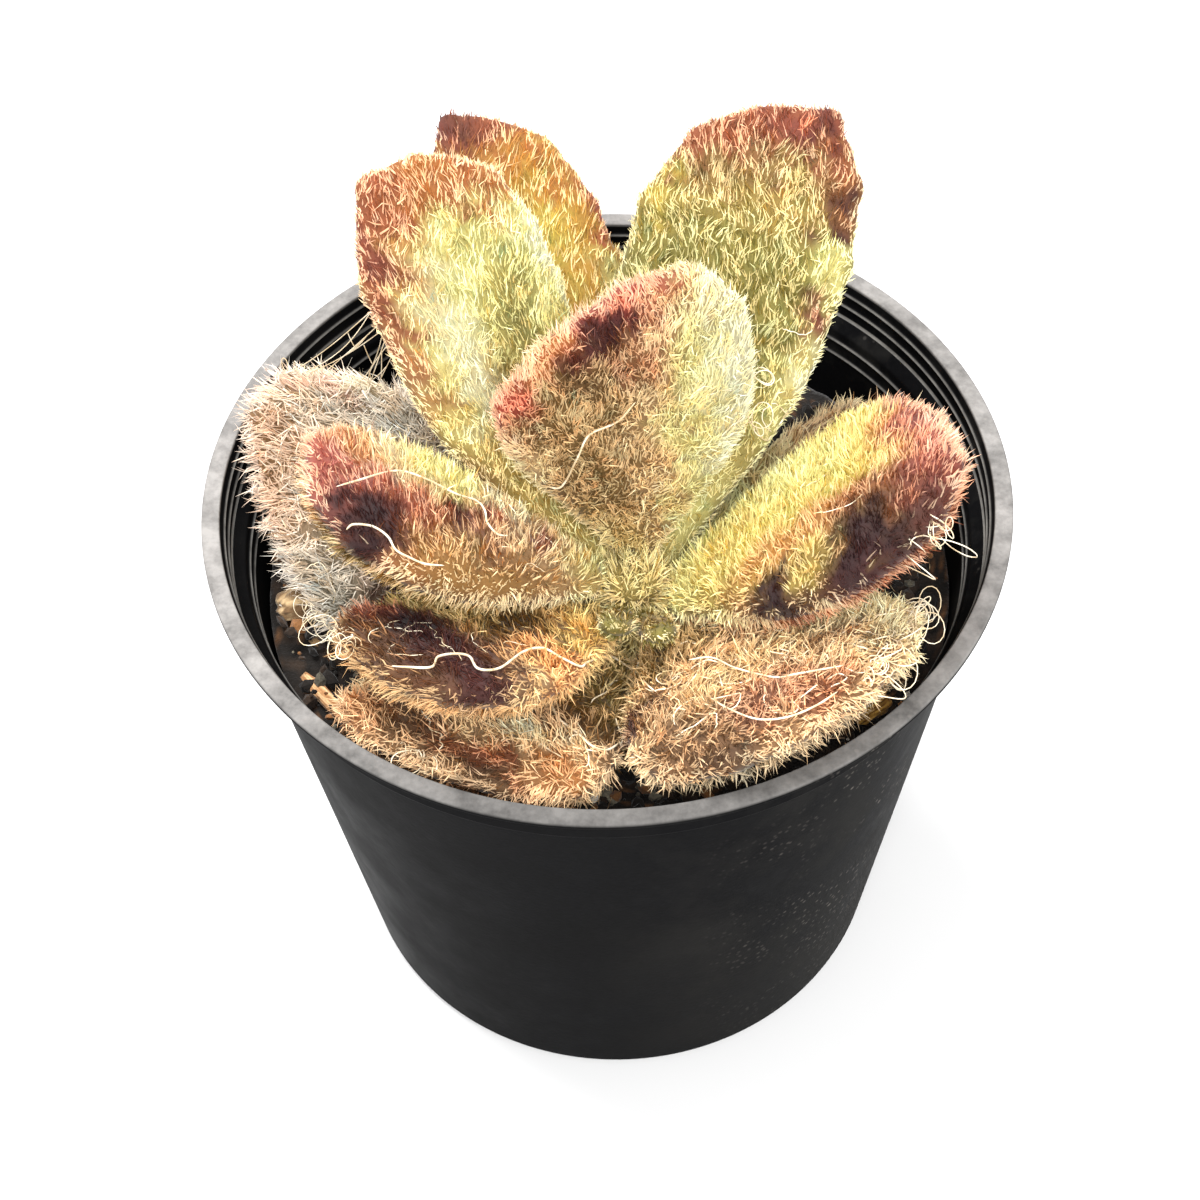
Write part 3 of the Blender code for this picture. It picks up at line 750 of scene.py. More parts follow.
# azimuth to square, and teeth, are the leaf's form as in the CAD: the way it leaves the stem, its slope, how
# much more it rises, turns and rolls towards the tip, its size, how high its base is over the soil, and how
# the tip leans and rounds off. A tooth is its place along the margin from the tip and its height, in mm.
# felt: how far the matted hairs carry the margin, in mm. along: the colour at shares of the length. under:
# the underside's. marks: colour, place across (-1 left margin to 1 right, seen from the base) and along,
# half its size across and along, and strength. coat: how many hairs, their length in mm, how flat they lie,
# how much they curl, the share of pale ones, how much shorter they are at the margin, how dense below, and
# the tint of the pale ones.
leaves = {
    "leaf_back_left": dict(
        azimuth=130, rise=40, lift=13.5, sweep=-18, roll=-2, length=49.5, width=20, thick=6.5,
        seat=9.6, skew=-0.11, felt=0.5, square=3.05,
        teeth=((-22, 0.7), (-15, 0.8), (-8, 1.0), (0, 0.8), (6, 1.7), (16, 0.8)),
        # the straw at the base is painted light, lifting the shade there
        along=((0, "straw"), (0.3, "honey"), (0.48, "straw"), (0.6, "paleYellow"), (0.84, "paleYellow"),
               (0.93, "orange"), (1, "rust")),
        under="greyBeige",
        marks=(("sage", 0.4, 0.64, 0.42, 0.18, 0.75), ("honey", -0.05, 0.46, 0.4, 0.1, 0.7),
               ("paleYellow", 0.95, 0.78, 0.16, 0.14, 1.0), ("orange", -0.6, 0.8, 0.26, 0.13, 0.7),
               ("rust", -1.0, 0.86, 0.34, 0.24, 1.0), ("redBrown", -0.85, 0.78, 0.14, 0.12, 0.8),
               ("rust", -0.95, 0.6, 0.2, 0.12, 0.8), ("rust", -0.55, 0.98, 0.4, 0.09, 0.9),
               ("bronze", -1.0, 0.3, 0.35, 0.14, 0.8), ("milk", -0.35, 0.6, 0.26, 0.18, 0.6),
               ("milk", 0.98, 0.74, 0.1, 0.14, 0.8), ("rust", 0.3, 0.92, 0.4, 0.05, 0.6),
               ("orange", 0.1, 0.99, 0.4, 0.05, 0.8)),
        coat=dict(count=13000, length=1.7, lie=0.7, curl=0.5, pale=0.5, trim=0.5, below=0.5),
    ),
    "leaf_back_middle": dict(
        azimuth=109, rise=25, lift=8, sweep=-13, roll=-13, length=57, width=20, thick=6,
        seat=6.1, skew=-0.34, felt=0.5, square=3,
        teeth=((-25, 1.4), (-21, 1.6), (-13, 1.0), (-5, 1.2), (6, 1.6), (15, 0.8)),
        along=((0, "honey"), (0.5, "yellow"), (0.66, "gold"), (0.84, "gold"), (0.93, "orange"),
               (1, "rust")),
        under="tan",
        marks=(("redBrown", -0.65, 0.97, 0.42, 0.1, 1.0), ("umber", -0.6, 0.98, 0.2, 0.05, 0.5),
               ("rust", -0.2, 0.99, 0.4, 0.04, 0.8), ("yellow", 0.3, 0.76, 0.25, 0.1, 0.8),
               ("rust", 1.0, 0.88, 0.22, 0.13, 0.9), ("red", 1.0, 0.8, 0.16, 0.05, 0.8),
               ("red", 0.45, 0.47, 0.5, 0.09, 1.0), ("gold", 0.45, 0.98, 0.22, 0.05, 0.8),
               ("paleYellow", 0.95, 0.66, 0.2, 0.08, 0.7)),
        coat=dict(count=9000, length=1.7, lie=0.75, curl=0.35, pale=0.4, trim=0.5, below=0.4),
    ),
    "leaf_back_right": dict(
        azimuth=67, rise=39, lift=2, sweep=-0.5, roll=-0.5, length=53, width=23.5, thick=6.5,
        seat=8.6, skew=0.24, felt=0.5, square=2.8,
        teeth=((-22, 1.0), (-14, 1.1), (-6, 1.6), (1, 0.5), (8, 1.2), (17, 0.9)),
        # the pale yellow band at 0.15 of the length is painted light, lifting the shade at the base
        along=((0, "straw"), (0.15, "paleYellow"), (0.3, "straw"), (0.45, "sage"), (0.72, "sage"),
               (0.8, "honey"), (0.86, "bronze"), (0.92, "rust"), (1, "rust")),
        under="greyBeige",
        marks=(("redBrown", 0.4, 0.97, 0.45, 0.07, 0.9), ("plum", 0.55, 0.96, 0.12, 0.05, 0.6),
               ("yellow", -0.85, 0.8, 0.2, 0.05, 0.9), ("rust", -1.0, 0.92, 0.25, 0.06, 0.9),
               ("rust", 0.9, 0.84, 0.3, 0.1, 0.6), ("plum", 0.88, 0.79, 0.16, 0.05, 0.9),
               ("paleYellow", 1.02, 0.7, 0.14, 0.06, 1.0), ("redBrown", 0.9, 0.61, 0.17, 0.05, 1.0),
               ("rust", 0.86, 0.5, 0.14, 0.04, 0.8), ("olive", 0.3, 0.5, 0.4, 0.12, 0.5),
               ("paleYellow", 1.0, 0.36, 0.3, 0.2, 0.9), ("milk", 1.05, 0.36, 0.14, 0.16, 1.0)),
        coat=dict(count=14500, length=1.7, lie=0.65, curl=0.6, pale=0.5, trim=0.5, below=0.5),
    ),
    "leaf_centre": dict(
        azimuth=87, rise=77, lift=-2.5, sweep=22, roll=-6.5, length=31, width=26.5, thick=7,
        seat=12.9, skew=0.25, felt=0.45, square=2.35,
        teeth=((-15, 0.7), (-8, 0.9), (0, 1.0), (8, 1.0), (16, 1.4)),
        along=((0, "honey"), (0.3, "bronze"), (0.6, "bronze"), (0.84, "bronze"), (0.93, "red"),
               (1, "rose")),
        under="greyBeige",
        # the peach mark at -1.0 across is painted light, lifting the shade next to leaf_left
        marks=(("fawn", 0.25, 0.5, 0.3, 0.45, 0.9), ("paleYellow", 0.6, 0.48, 0.3, 0.5, 0.8),
               ("paleYellow", 0.95, 0.5, 0.5, 0.5, 0.7), ("milk", 1.0, 0.52, 0.42, 0.5, 0.9),
               ("peach", -1.0, 0.38, 0.25, 0.2, 0.9), ("brown", -0.25, 0.78, 0.4, 0.1, 0.5),
               ("plum", -0.15, 0.92, 0.32, 0.06, 1.0), ("plum", -0.5, 0.88, 0.16, 0.04, 0.5),
               ("rust", 0.1, 0.79, 0.2, 0.07, 0.6), ("red", 0.1, 1.0, 0.4, 0.04, 0.8),
               ("red", -0.98, 0.77, 0.2, 0.1, 0.9), ("rust", -1.02, 0.6, 0.2, 0.1, 0.8),
               ("orange", -0.75, 0.95, 0.25, 0.07, 0.8), ("fawn", 0.6, 0.93, 0.2, 0.08, 0.8),
               ("cream", 0.85, 0.9, 0.2, 0.1, 0.9)),
        coat=dict(count=16500, length=1.8, lie=0.5, curl=0.35, pale=0.8, trim=0.3, below=0.6),
    ),
    "leaf_left": dict(
        azimuth=183, rise=31, lift=9.5, sweep=-5.5, roll=-14, length=34.5, width=20, thick=8,
        seat=13.2, skew=0.03, felt=0.4, square=2.7, teeth=evenTeeth,
        along=((0, "straw"), (0.15, "fawn"), (0.35, "tan"), (0.5, "rust"), (0.7, "rust"), (0.85, "rose"),
               (1, "rose")),
        under="oliveTan",
        marks=(("amber", -0.95, 0.4, 0.5, 0.45, 0.9), ("peach", 0.6, 0.74, 0.5, 0.16, 1.0),
               ("paleYellow", 0.55, 0.56, 0.5, 0.14, 1.0), ("cream", 0.1, 0.72, 0.12, 0.1, 0.5),
               ("orange", 0.5, 0.88, 0.4, 0.06, 0.8), ("plum", -0.68, 0.86, 0.34, 0.12, 1.0),
               ("maroon", -0.66, 0.87, 0.3, 0.09, 1.0), ("rose", -0.1, 0.8, 0.14, 0.12, 0.5),
               ("red", 0.2, 1.0, 0.4, 0.03, 0.5), ("plum", -0.08, 0.52, 0.22, 0.06, 1.0),
               ("brown", -0.5, 0.5, 0.24, 0.09, 0.6), ("red", 0.08, 0.44, 0.12, 0.04, 0.7),
               ("redBrown", -0.06, 0.22, 0.2, 0.05, 1.0), ("cream", 0.4, 0.33, 0.25, 0.1, 0.7)),
        coat=dict(count=11500, length=1.55, lie=0.3, curl=0.35, pale=0.5, trim=0.2, below=0.8),
    ),
    "leaf_right": dict(
        azimuth=-7, rise=38.5, lift=10.5, sweep=11, roll=12, length=37, width=25, thick=9,
        seat=10.2, skew=0.31, felt=0.4, square=2.65, teeth=evenTeeth,
        along=((0, "paleYellow"), (0.18, "yellow"), (0.45, "yellow"), (0.8, "yellow"), (0.87, "orange"),
               (0.93, "redBrown"), (1, "redBrown")),
        under="rust",
        marks=(("paleYellow", -0.45, 0.5, 0.4, 0.2, 0.8), ("honey", 0.55, 0.12, 0.4, 0.13, 0.7),
               ("orange", 0.45, 0.55, 0.25, 0.25, 0.8), ("rust", 0.85, 0.3, 0.3, 0.13, 0.7),
               ("brown", 1.12, 0.5, 0.34, 0.3, 1.0), ("rust", 0.5, 0.76, 0.28, 0.14, 0.8),
               ("plum", 0.96, 0.72, 0.4, 0.14, 1.0), ("plum", 0.82, 0.88, 0.26, 0.09, 0.9),
               ("redBrown", 0.45, 0.88, 0.25, 0.07, 0.7), ("maroon", 0.82, 0.74, 0.26, 0.1, 0.9),
               ("maroon", 0.84, 0.44, 0.18, 0.06, 1.0), ("rose", -0.1, 0.97, 0.6, 0.07, 0.8)),
        coat=dict(count=13000, length=1.5, lie=0.3, curl=0.3, pale=0.68, trim=0.1, below=0.8),
    ),
    "leaf_front_left": dict(
        azimuth=216, rise=24.5, lift=10.5, sweep=-4.5, roll=-18.5, length=33, width=22, thick=7,
        seat=8.4, skew=-0.07, felt=0.3, square=2.55, teeth=evenTeeth,
        along=((0, "honey"), (0.25, "amber"), (0.42, "moor"), (0.6, "brown"), (0.78, "plum"), (1, "brown")),
        under="tan",
        # the honey marks at 0.5 and 0.85 across are painted light, lifting the shade under leaf_left
        marks=(("honey", 0.5, 0.56, 0.7, 0.08, 0.8), ("maroon", 0.1, 0.79, 0.45, 0.09, 1.0),
               ("plum", -0.5, 0.82, 0.3, 0.07, 0.7), ("plum", -1.0, 0.85, 0.2, 0.15, 0.7),
               ("orange", -0.85, 0.46, 0.34, 0.17, 1.0), ("gold", -0.42, 0.2, 0.4, 0.12, 0.9),
               ("honey", -0.5, 0.3, 0.25, 0.1, 0.8), ("moor", -0.1, 0.42, 0.25, 0.14, 0.8),
               ("honey", 0.85, 0.58, 0.45, 0.13, 1.0), ("fawn", -1.0, 0.62, 0.3, 0.07, 0.8),
               ("brown", 0.6, 0.93, 0.4, 0.06, 0.7), ("rose", 0.8, 0.82, 0.3, 0.08, 0.5)),
        coat=dict(count=11000, length=1.9, lie=0.5, curl=0.6, pale=0.62, trim=0.2, below=0.8,
                  tint=(252, 222, 168)),
    ),
    "leaf_low_front_left": dict(
        azimuth=228, rise=15, lift=16, sweep=-6.5, roll=-7, length=32, width=26.5, thick=7,
        seat=2.7, skew=0.31, felt=0.2, square=2.6, teeth=evenTeeth,
        along=((0, "honey"), (0.2, "oliveTan"), (0.42, "moor"), (0.55, "tan"), (0.64, "fawn"),
               (0.78, "fawn"), (0.88, "brown"), (1, "tan")),
        under="brown",
        marks=(("umber", 0.45, 0.76, 0.25, 0.08, 0.6), ("orange", -0.85, 0.74, 0.28, 0.12, 0.8),
               ("cream", -0.45, 0.64, 0.3, 0.07, 0.9), ("fawn", -0.15, 0.78, 0.2, 0.06, 0.7),
               ("orange", 0.75, 0.95, 0.3, 0.1, 0.6), ("rust", -0.3, 0.9, 0.4, 0.06, 0.7),
               ("umber", -0.4, 0.97, 0.4, 0.05, 0.6), ("brown", 0.1, 0.5, 0.4, 0.08, 0.5)),
        coat=dict(count=12000, length=2.2, lie=0.4, curl=0.9, pale=0.6, trim=0.2, below=0.7,
                  tint=(255, 230, 190)),
    ),
    "leaf_low_front_right": dict(
        azimuth=308, rise=30, lift=3.5, sweep=2.5, roll=0, length=32, width=32, thick=7.5,
        seat=4.6, skew=-0.14, felt=0.2, square=2.3, teeth=evenTeeth,
        along=((0, "oliveTan"), (0.34, "bronze"), (0.42, "tan"), (0.52, "fawn"), (0.7, "fawn"), (1, "tan")),
        under="stone",
        # the two ivory marks are painted light, lifting the shade under leaf_right
        marks=(("ivory", -0.95, 0.66, 0.5, 0.34, 1.0), ("ivory", -0.8, 0.45, 0.3, 0.1, 0.8),
               ("rust", -0.5, 0.46, 0.26, 0.06, 0.8), ("redBrown", 0.25, 0.8, 0.35, 0.14, 0.7),
               ("rust", 0.0, 0.92, 0.3, 0.08, 0.7), ("rust", -0.45, 0.76, 0.2, 0.08, 0.5),
               ("plum", 0.78, 0.38, 0.13, 0.06, 0.9), ("brown", 0.85, 0.72, 0.35, 0.25, 0.8),
               ("brown", 0.65, 0.48, 0.2, 0.06, 0.5), ("umber", 0.8, 0.92, 0.3, 0.08, 0.6)),
        coat=dict(count=13500, length=2.1, lie=0.45, curl=0.9, pale=0.62, trim=0.3, below=0.5,
                  tint=(255, 232, 190)),
    ),
    "leaf_low_left": dict(
        azimuth=153.5, rise=14.5, lift=2.5, sweep=11.5, roll=20.5, length=42.5, width=27.5, thick=6.5,
        seat=3.6, skew=0.62, felt=0.2, square=2.35, teeth=evenTeeth,
        along=((0, "honey"), (0.4, "greyBeige"), (0.7, "greyBeige"), (0.85, "greyBeige"), (1, "tan")),
        under="stone",
        marks=(("stone", 0.7, 0.68, 0.3, 0.09, 0.9), ("rose", 0.85, 0.85, 0.14, 0.12, 0.5),
               ("tan", 0.1, 0.95, 0.4, 0.1, 0.7), ("stone", -0.8, 0.76, 0.4, 0.12, 0.9),
               ("plum", -0.7, 0.54, 0.25, 0.1, 0.9), ("brown", -1.0, 0.42, 0.3, 0.12, 0.8),
               ("cream", 1.0, 0.88, 0.14, 0.16, 0.9), ("straw", 0.2, 0.12, 0.6, 0.14, 0.8)),
        coat=dict(count=13000, length=2.7, lie=0.45, curl=1.0, pale=0.72, trim=0.1, below=0.5,
                  tint=(240, 234, 226)),
    ),
    "leaf_low_right": dict(
        azimuth=32, rise=10, lift=1, sweep=-1.5, roll=5, length=38, width=20, thick=6.5,
        seat=4.9, skew=0.01, felt=0.2, square=2.6, teeth=evenTeeth,
        along=((0, "straw"), (0.4, "straw"), (0.65, "fawn"), (0.9, "redBrown"), (1, "tan")),
        under="stone",
        # the pale yellow and milk marks are painted light, lifting the shade there
        marks=(("paleYellow", -0.6, 0.25, 0.5, 0.16, 1.0), ("milk", -0.95, 0.3, 0.3, 0.12, 1.0),
               ("fawn", -0.9, 0.85, 0.4, 0.12, 0.8), ("plum", 0.2, 0.92, 0.4, 0.08, 0.5)),
        coat=dict(count=5600, length=2.3, lie=0.45, curl=0.8, pale=0.7, trim=0.2, below=0.4),
    ),
    "leaf_low_back": dict(
        azimuth=87.5, rise=13, lift=0, sweep=0, roll=1, length=35.5, width=21, thick=6,
        seat=2.5, skew=0, felt=0.2, square=2.6, teeth=evenTeeth,
        along=((0, "honey"), (0.5, "straw"), (0.8, "tan"), (1, "brown")),
        under="stone",
        marks=(("greyBeige", 0, 0.9, 0.5, 0.1, 0.6), ("plum", 0.5, 0.85, 0.2, 0.06, 0.6)),
        coat=dict(count=3800, length=2.3, lie=0.45, curl=0.8, pale=0.7, trim=0.2, below=0.4),
    ),
    "leaf_new_left": dict(
        azimuth=256, rise=32, lift=20, sweep=0, roll=0, length=9.5, width=3.8, thick=2.4,
        seat=11.9, skew=0, felt=0, square=2.6, teeth=(),
        along=((0, "sage"), (0.6, "oliveTan"), (1, "sage")), under="sage", marks=(),
        coat=dict(count=700, length=1.0, lie=0.5, curl=0.3, pale=0.4, trim=0.2, below=0.6),
    ),
    "leaf_new_right": dict(
        azimuth=284, rise=28, lift=20, sweep=0, roll=0, length=10, width=3.8, thick=2.4,
        seat=11.3, skew=0, felt=0, square=2.6, teeth=(),
        along=((0, "sage"), (0.6, "oliveTan"), (1, "sage")), under="sage", marks=(),
        coat=dict(count=700, length=1.0, lie=0.5, curl=0.3, pale=0.4, trim=0.2, below=0.6),
    ),
}


def halfWidth(along, leaf):
    # base + (1 - base) sin(along)^1.3 up to the widest place, then (1 - past^square)^(1/shoulder)
    widest = leafForm["widest"]
    rise = np.sin(np.clip(along / widest, 0, 1) * math.pi / 2) ** 1.3
    past = np.clip((along - widest) / (1 - widest), 0, 1)
    before = leafForm["base"] + (1 - leafForm["base"]) * rise
    after = (1 - past ** leaf["square"]) ** (1 / leafForm["shoulder"])
    return np.where(along < widest, before, after) * leaf["width"] * mm / 2


def leafMargin(leaf, spread):
    # The flat outline at spread, -1 and 1 at the base and 0 at the tip: a margin at half the leaf's width,
    # pushed out by a bell-shaped tooth at each place, by hairs matted over wider bells that fill the notches
    # part of the way, and by the felt. Returns x, y, and where on the midrib the rings close.
    length = leaf["length"] * mm
    along = np.linspace(0, 1, 300)
    x = halfWidth(along, leaf)
    y = along * length
    x = np.concatenate([x, -x[-2::-1]])
    y = np.concatenate([y, y[-2::-1]])
    path = pathLength(x, y)
    path -= path[-1] / 2
    place = np.sign(spread) * np.abs(spread) ** 1.3 * path[-1]
    step = 0.3 * mm
    aheadX, behindX = (np.interp(place + s, path, x) for s in (step, -step))
    aheadY, behindY = (np.interp(place + s, path, y) for s in (step, -step))
    size = np.hypot(aheadX - behindX, aheadY - behindY)
    outX = (aheadY - behindY) / size
    outY = (behindX - aheadX) / size
    tooth, mat = np.zeros(len(spread)), np.zeros(len(spread))
    for where, height in leaf["teeth"]:
        far = (place - where * mm) / (leafForm["toothWidth"] * mm)
        tooth += height * mm * np.exp(-0.5 * far ** 2)
        mat += height * mm * np.exp(-0.5 * (far / 2) ** 2)
    tooth = np.maximum(tooth, leafForm["matted"] * np.minimum(mat, leafForm["matDepth"] * mm))
    smoothY = np.interp(np.abs(place), path, y)
    tooth += leaf["felt"] * mm * smoothStep(0.15, 0.5, smoothY / length)
    midrib = np.clip(smoothY, 0, length - leafForm["midribEnd"] * leaf["width"] * mm)
    return np.interp(place, path, x) + outX * tooth, np.interp(place, path, y) + outY * tooth, midrib


def halfThickness(y, leaf):
    # thin at the base, full from 0.45 of the length on, and thinner again towards the tip
    along = np.clip(y / (leaf["length"] * mm), 0, 1)
    full = np.sin(np.clip(along / 0.45, 0, 1) * math.pi / 2)
    swell = leafForm["baseThickness"] + (1 - leafForm["baseThickness"]) * full
    thin = 1 - leafForm["tipThinning"] * np.clip((along - 0.6) / 0.4, 0, 1)
    return leaf["thick"] * mm / 2 * swell * thin


def leafSeat(leaf):
    # the middle of the leaf's base, off the stem by the gap and by half the thickness of its sloping base
    turn = math.radians(leaf["azimuth"])
    base = leafForm["baseThickness"] * leaf["thick"] / 2
    out = stemForm["radius"] + leafForm["gap"] + base * math.sin(math.radians(leaf["rise"]))
    x = soil["stem"][0] + out * math.cos(turn)
    y = soil["stem"][1] + out * math.sin(turn)
    return np.array([x, y, soil["top"] + leaf["seat"]]) * mm


def bendLeaf(leaf, x, y, z):
    # flat leaf points (across, along, up) on a midrib whose slope and azimuth change evenly along it
    length = leaf["length"] * mm
    y = y + leaf["skew"] * x * (np.clip(y / length - 0.35, 0, 1) / 0.65) ** 1.5
    steps = np.linspace(0, 1, 60)
    reach = 1.2 * length
    turn = np.radians(leaf["azimuth"] + leaf["sweep"] * steps)
    tilt = np.radians(leaf["rise"] + leaf["lift"] * steps)
    way = np.stack([np.cos(tilt) * np.cos(turn), np.cos(tilt) * np.sin(turn), np.sin(tilt)], 1)
    middles = (way[1:] + way[:-1]) / 2 * reach / (len(steps) - 1)
    line = leafSeat(leaf) + np.concatenate([np.zeros((1, 3)), np.cumsum(middles, 0)])
    at = interpolate(y, steps * reach, line)
    ahead = unit(interpolate(y, steps * reach, way))
    side = unit(np.cross(ahead, (0, 0, 1)))
    up = np.cross(side, ahead)
    roll = np.radians(leaf["roll"]) * np.clip(y / (0.35 * length), 0, 1)[:, None]
    across = side * np.cos(roll) + up * np.sin(roll)
    above = up * np.cos(roll) - side * np.sin(roll)
    return at + across * x[:, None] + above * z[:, None]


def leafSkin(leaf, seed):
    # margin points times rings, above and below: x = margin times ring, puffed by sqrt(1 - ring^2.4),
    # with soft dents; returns points, faces, and for each point its place across and along, ring and side
    count = leafForm["points"] if leaf["teeth"] else leafForm["points"] // 3
    marginX, marginY, midrib = leafMargin(leaf, np.linspace(-1, 1, count))
    ring = np.cos(np.linspace(0, 1, leafForm["rings"]) * math.pi / 2)[:, None]
    x = (marginX * ring).ravel()
    y = (midrib + (marginY - midrib) * ring).ravel()
    rings = np.repeat(ring.ravel(), count)
    puff = halfThickness(y, leaf) * np.sqrt(np.clip(1 - rings ** 2.4, 0, 1))
    flat = np.stack([x, y, np.zeros_like(x)], 1)
    dents = 1 + 0.05 * ripples(flat, 9 * mm, seed) + 0.03 * ripples(flat, 3.5 * mm, seed + 1)
    upper = bendLeaf(leaf, x, y, puff * leafForm["upper"] * dents)
    lower = bendLeaf(leaf, x, y, -puff * leafForm["lower"] * dents)
    size = len(upper)
    sheet = gridFaces(leafForm["rings"], count)
    base = []
    for k in (0, count - 1):  # the flat end at the base, between the two faces
        column = np.arange(leafForm["rings"]) * count + k
        base.append(np.stack([column[:-1], column[1:], column[1:] + size], 1))
        base.append(np.stack([column[:-1], column[1:] + size, column[:-1] + size], 1))
    base[2:] = [part[:, ::-1] for part in base[2:]]
    faces = np.concatenate([sheet, sheet[:, ::-1] + size, *base])
    places = np.stack([np.tile(x / (leaf["width"] * mm / 2), 2), np.tile(y / (leaf["length"] * mm), 2),
                       np.tile(rings, 2), np.repeat((1.0, -1.0), size)], 1)
    points, faces, (places,) = mergePoints(np.concatenate([upper, lower]), faces, [places])
    return points, outward(points, faces), places


def leafPaint(leaf, points, places, seed):
    # the colour along the leaf, then each mark as a soft oval with a wavering edge, then the underside
    coarse, fine = 6 * mm, 1.8 * mm
    across = places[:, 0] + 0.08 * ripples(points, coarse, seed) + 0.06 * ripples(points, fine, seed + 1)
    along = places[:, 1] + 0.03 * ripples(points, coarse, seed + 2) + 0.025 * ripples(points, fine, seed + 3)
    shares = [share for share, _ in leaf["along"]]
    bands = np.array([screenColour(tones[tone]) for _, tone in leaf["along"]])
    colours = interpolate(along, shares, bands)
    for tone, middle, height, wide, tall, strength in leaf["marks"]:
        reach = np.hypot((across - middle) / wide, (along - height) / tall)
        colours = blendIn(colours, screenColour(tones[tone]), strength * smoothStep(1.45, 0.4, reach))
    inner = smoothStep(1.0, 0.9, places[:, 2]) * (places[:, 3] < 0)
    return blendIn(colours, screenColour(tones[leaf["under"]]), 0.8 * inner)


hairForm = dict(
    density=0.87,  # of the count that a coat gives
    lengths=(0.55, 1.3),  # the shortest and the longest, as shares of a coat's length
    thick=0.084, thicknesses=(0.75, 1.25),  # the root's radius in mm, and the least and most of it
    thickPale=1.3, thickDark=0.85, sunk=0.08,  # pale and dark hairs' share of it, and the root's depth in mm
    combSize=5, upward=0.15,  # ripples that comb the hairs, in mm, and how much all of them lean upwards
    tuft=1.0, driftSize=2.5, drift=0.5,  # a tuft's size in mm, and the ripples that shape tufts
    gather=0.38,  # how far a tuft draws its tips together
    bent=0.08, stray=0.45,  # the share of bent hairs and the random lean of a coat with no curl
    rise=0.14,  # how much a hair stands off its skin at least
    knee=0.6,  # where a bent hair bends
    rootShades=(0.35, 0.65), tipShades=(0.5, 1.05),  # a dark hair's colour, from and to, of its skin's
    paleRoot=0.75,  # the root of a pale hair, of its tip's colour
    pale=(255, 244, 206), tinge=(0.11, 0.0, -0.15),  # how red, green and blue vary from tuft to tuft
    # painted shade: the share below darkens the skin under the hairs to stand in for the shade between them
    skinPaintedShade=0.4,  # the skin's colour under the hairs, as a share of theirs
)


def spreadRoots(rng, points, faces, places, colours, coat, count):
    # Random places on the faces, spread by area and fewer below. Returns each root, its colour and ring, the
    # face's normal, and the way along the face towards the leaf's tip.
    corner = points[faces]
    first, second = corner[:, 1] - corner[:, 0], corner[:, 2] - corner[:, 0]
    normal = np.cross(first, second)
    double = np.linalg.norm(normal, axis=1)
    normal = unit(normal)
    along = places[faces, 1]
    slope = (along[:, 1] - along[:, 0])[:, None] * np.cross(second, normal)
    slope = unit(slope + (along[:, 2] - along[:, 0])[:, None] * np.cross(normal, first))
    side = places[faces, 3].mean(1)
    weight = double * np.where(side < -0.5, coat["below"], 1.0)
    face = rng.choice(len(faces), count, p=weight / weight.sum())
    u, v = rng.uniform(0, 1, (2, count))
    flip = u + v > 1
    u[flip], v[flip] = 1 - u[flip], 1 - v[flip]
    share = np.stack([1 - u - v, u, v], 1)[:, :, None]
    root = (corner[face] * share).sum(1)
    colour = (colours[faces[face]] * share).sum(1)
    edge = (places[faces[face], 2] * share[:, :, 0]).sum(1)
    return root, colour, edge, normal[face], slope[face]


def combHairs(rng, root, edge, normal, slope, coat, seed):
    # A hair leans from the normal towards the leaf's tip by its coat's lie, plus long ripples and a random
    # part. Hairs whose rippled roots share a cell make a tuft, and their tips are drawn towards its middle.
    # Returns each hair's way, length, tip and tuft.
    count = len(root)
    form = hairForm
    comb = rippled(root, form["combSize"] * mm, seed)
    lean = (1 - coat["lie"]) * normal + (0.2 + coat["lie"]) * slope + np.array([0, 0, form["upward"]])
    lean = unit(lean) + (0.12 + 0.35 * coat["curl"]) * comb
    frizz = rng.normal(size=(count, 3))
    frizz = unit(frizz - (frizz * normal).sum(1)[:, None] * normal)
    frizz *= (form["stray"] + 0.8 * coat["curl"]) * rng.uniform(0, 1, (count, 1))
    way = unit(lean + frizz + rng.normal(0, 0.15, (count, 3)))
    way = unit(way + normal * np.clip(form["rise"] - (way * normal).sum(1), 0, 1)[:, None])
    trimmed = 1 - coat["trim"] * smoothStep(0.75, 1, edge)
    long = coat["length"] * mm * rng.uniform(*form["lengths"], count) * trimmed
    tip = root + way * long[:, None]

    drift = form["drift"] * mm * rippled(root, form["driftSize"] * mm, seed + 5)
    cell = np.round((root + drift) / (form["tuft"] * mm)).astype(np.int64)
    _, tuft = np.unique(cell, axis=0, return_inverse=True)
    tuft = tuft.reshape(-1)
    members = np.bincount(tuft)
    middle = np.stack([np.bincount(tuft, tip[:, i]) / members for i in range(3)], 1)
    tip = tip + form["gather"] * (middle[tuft] - tip)
    return unit(tip - root), long, tip, tuft


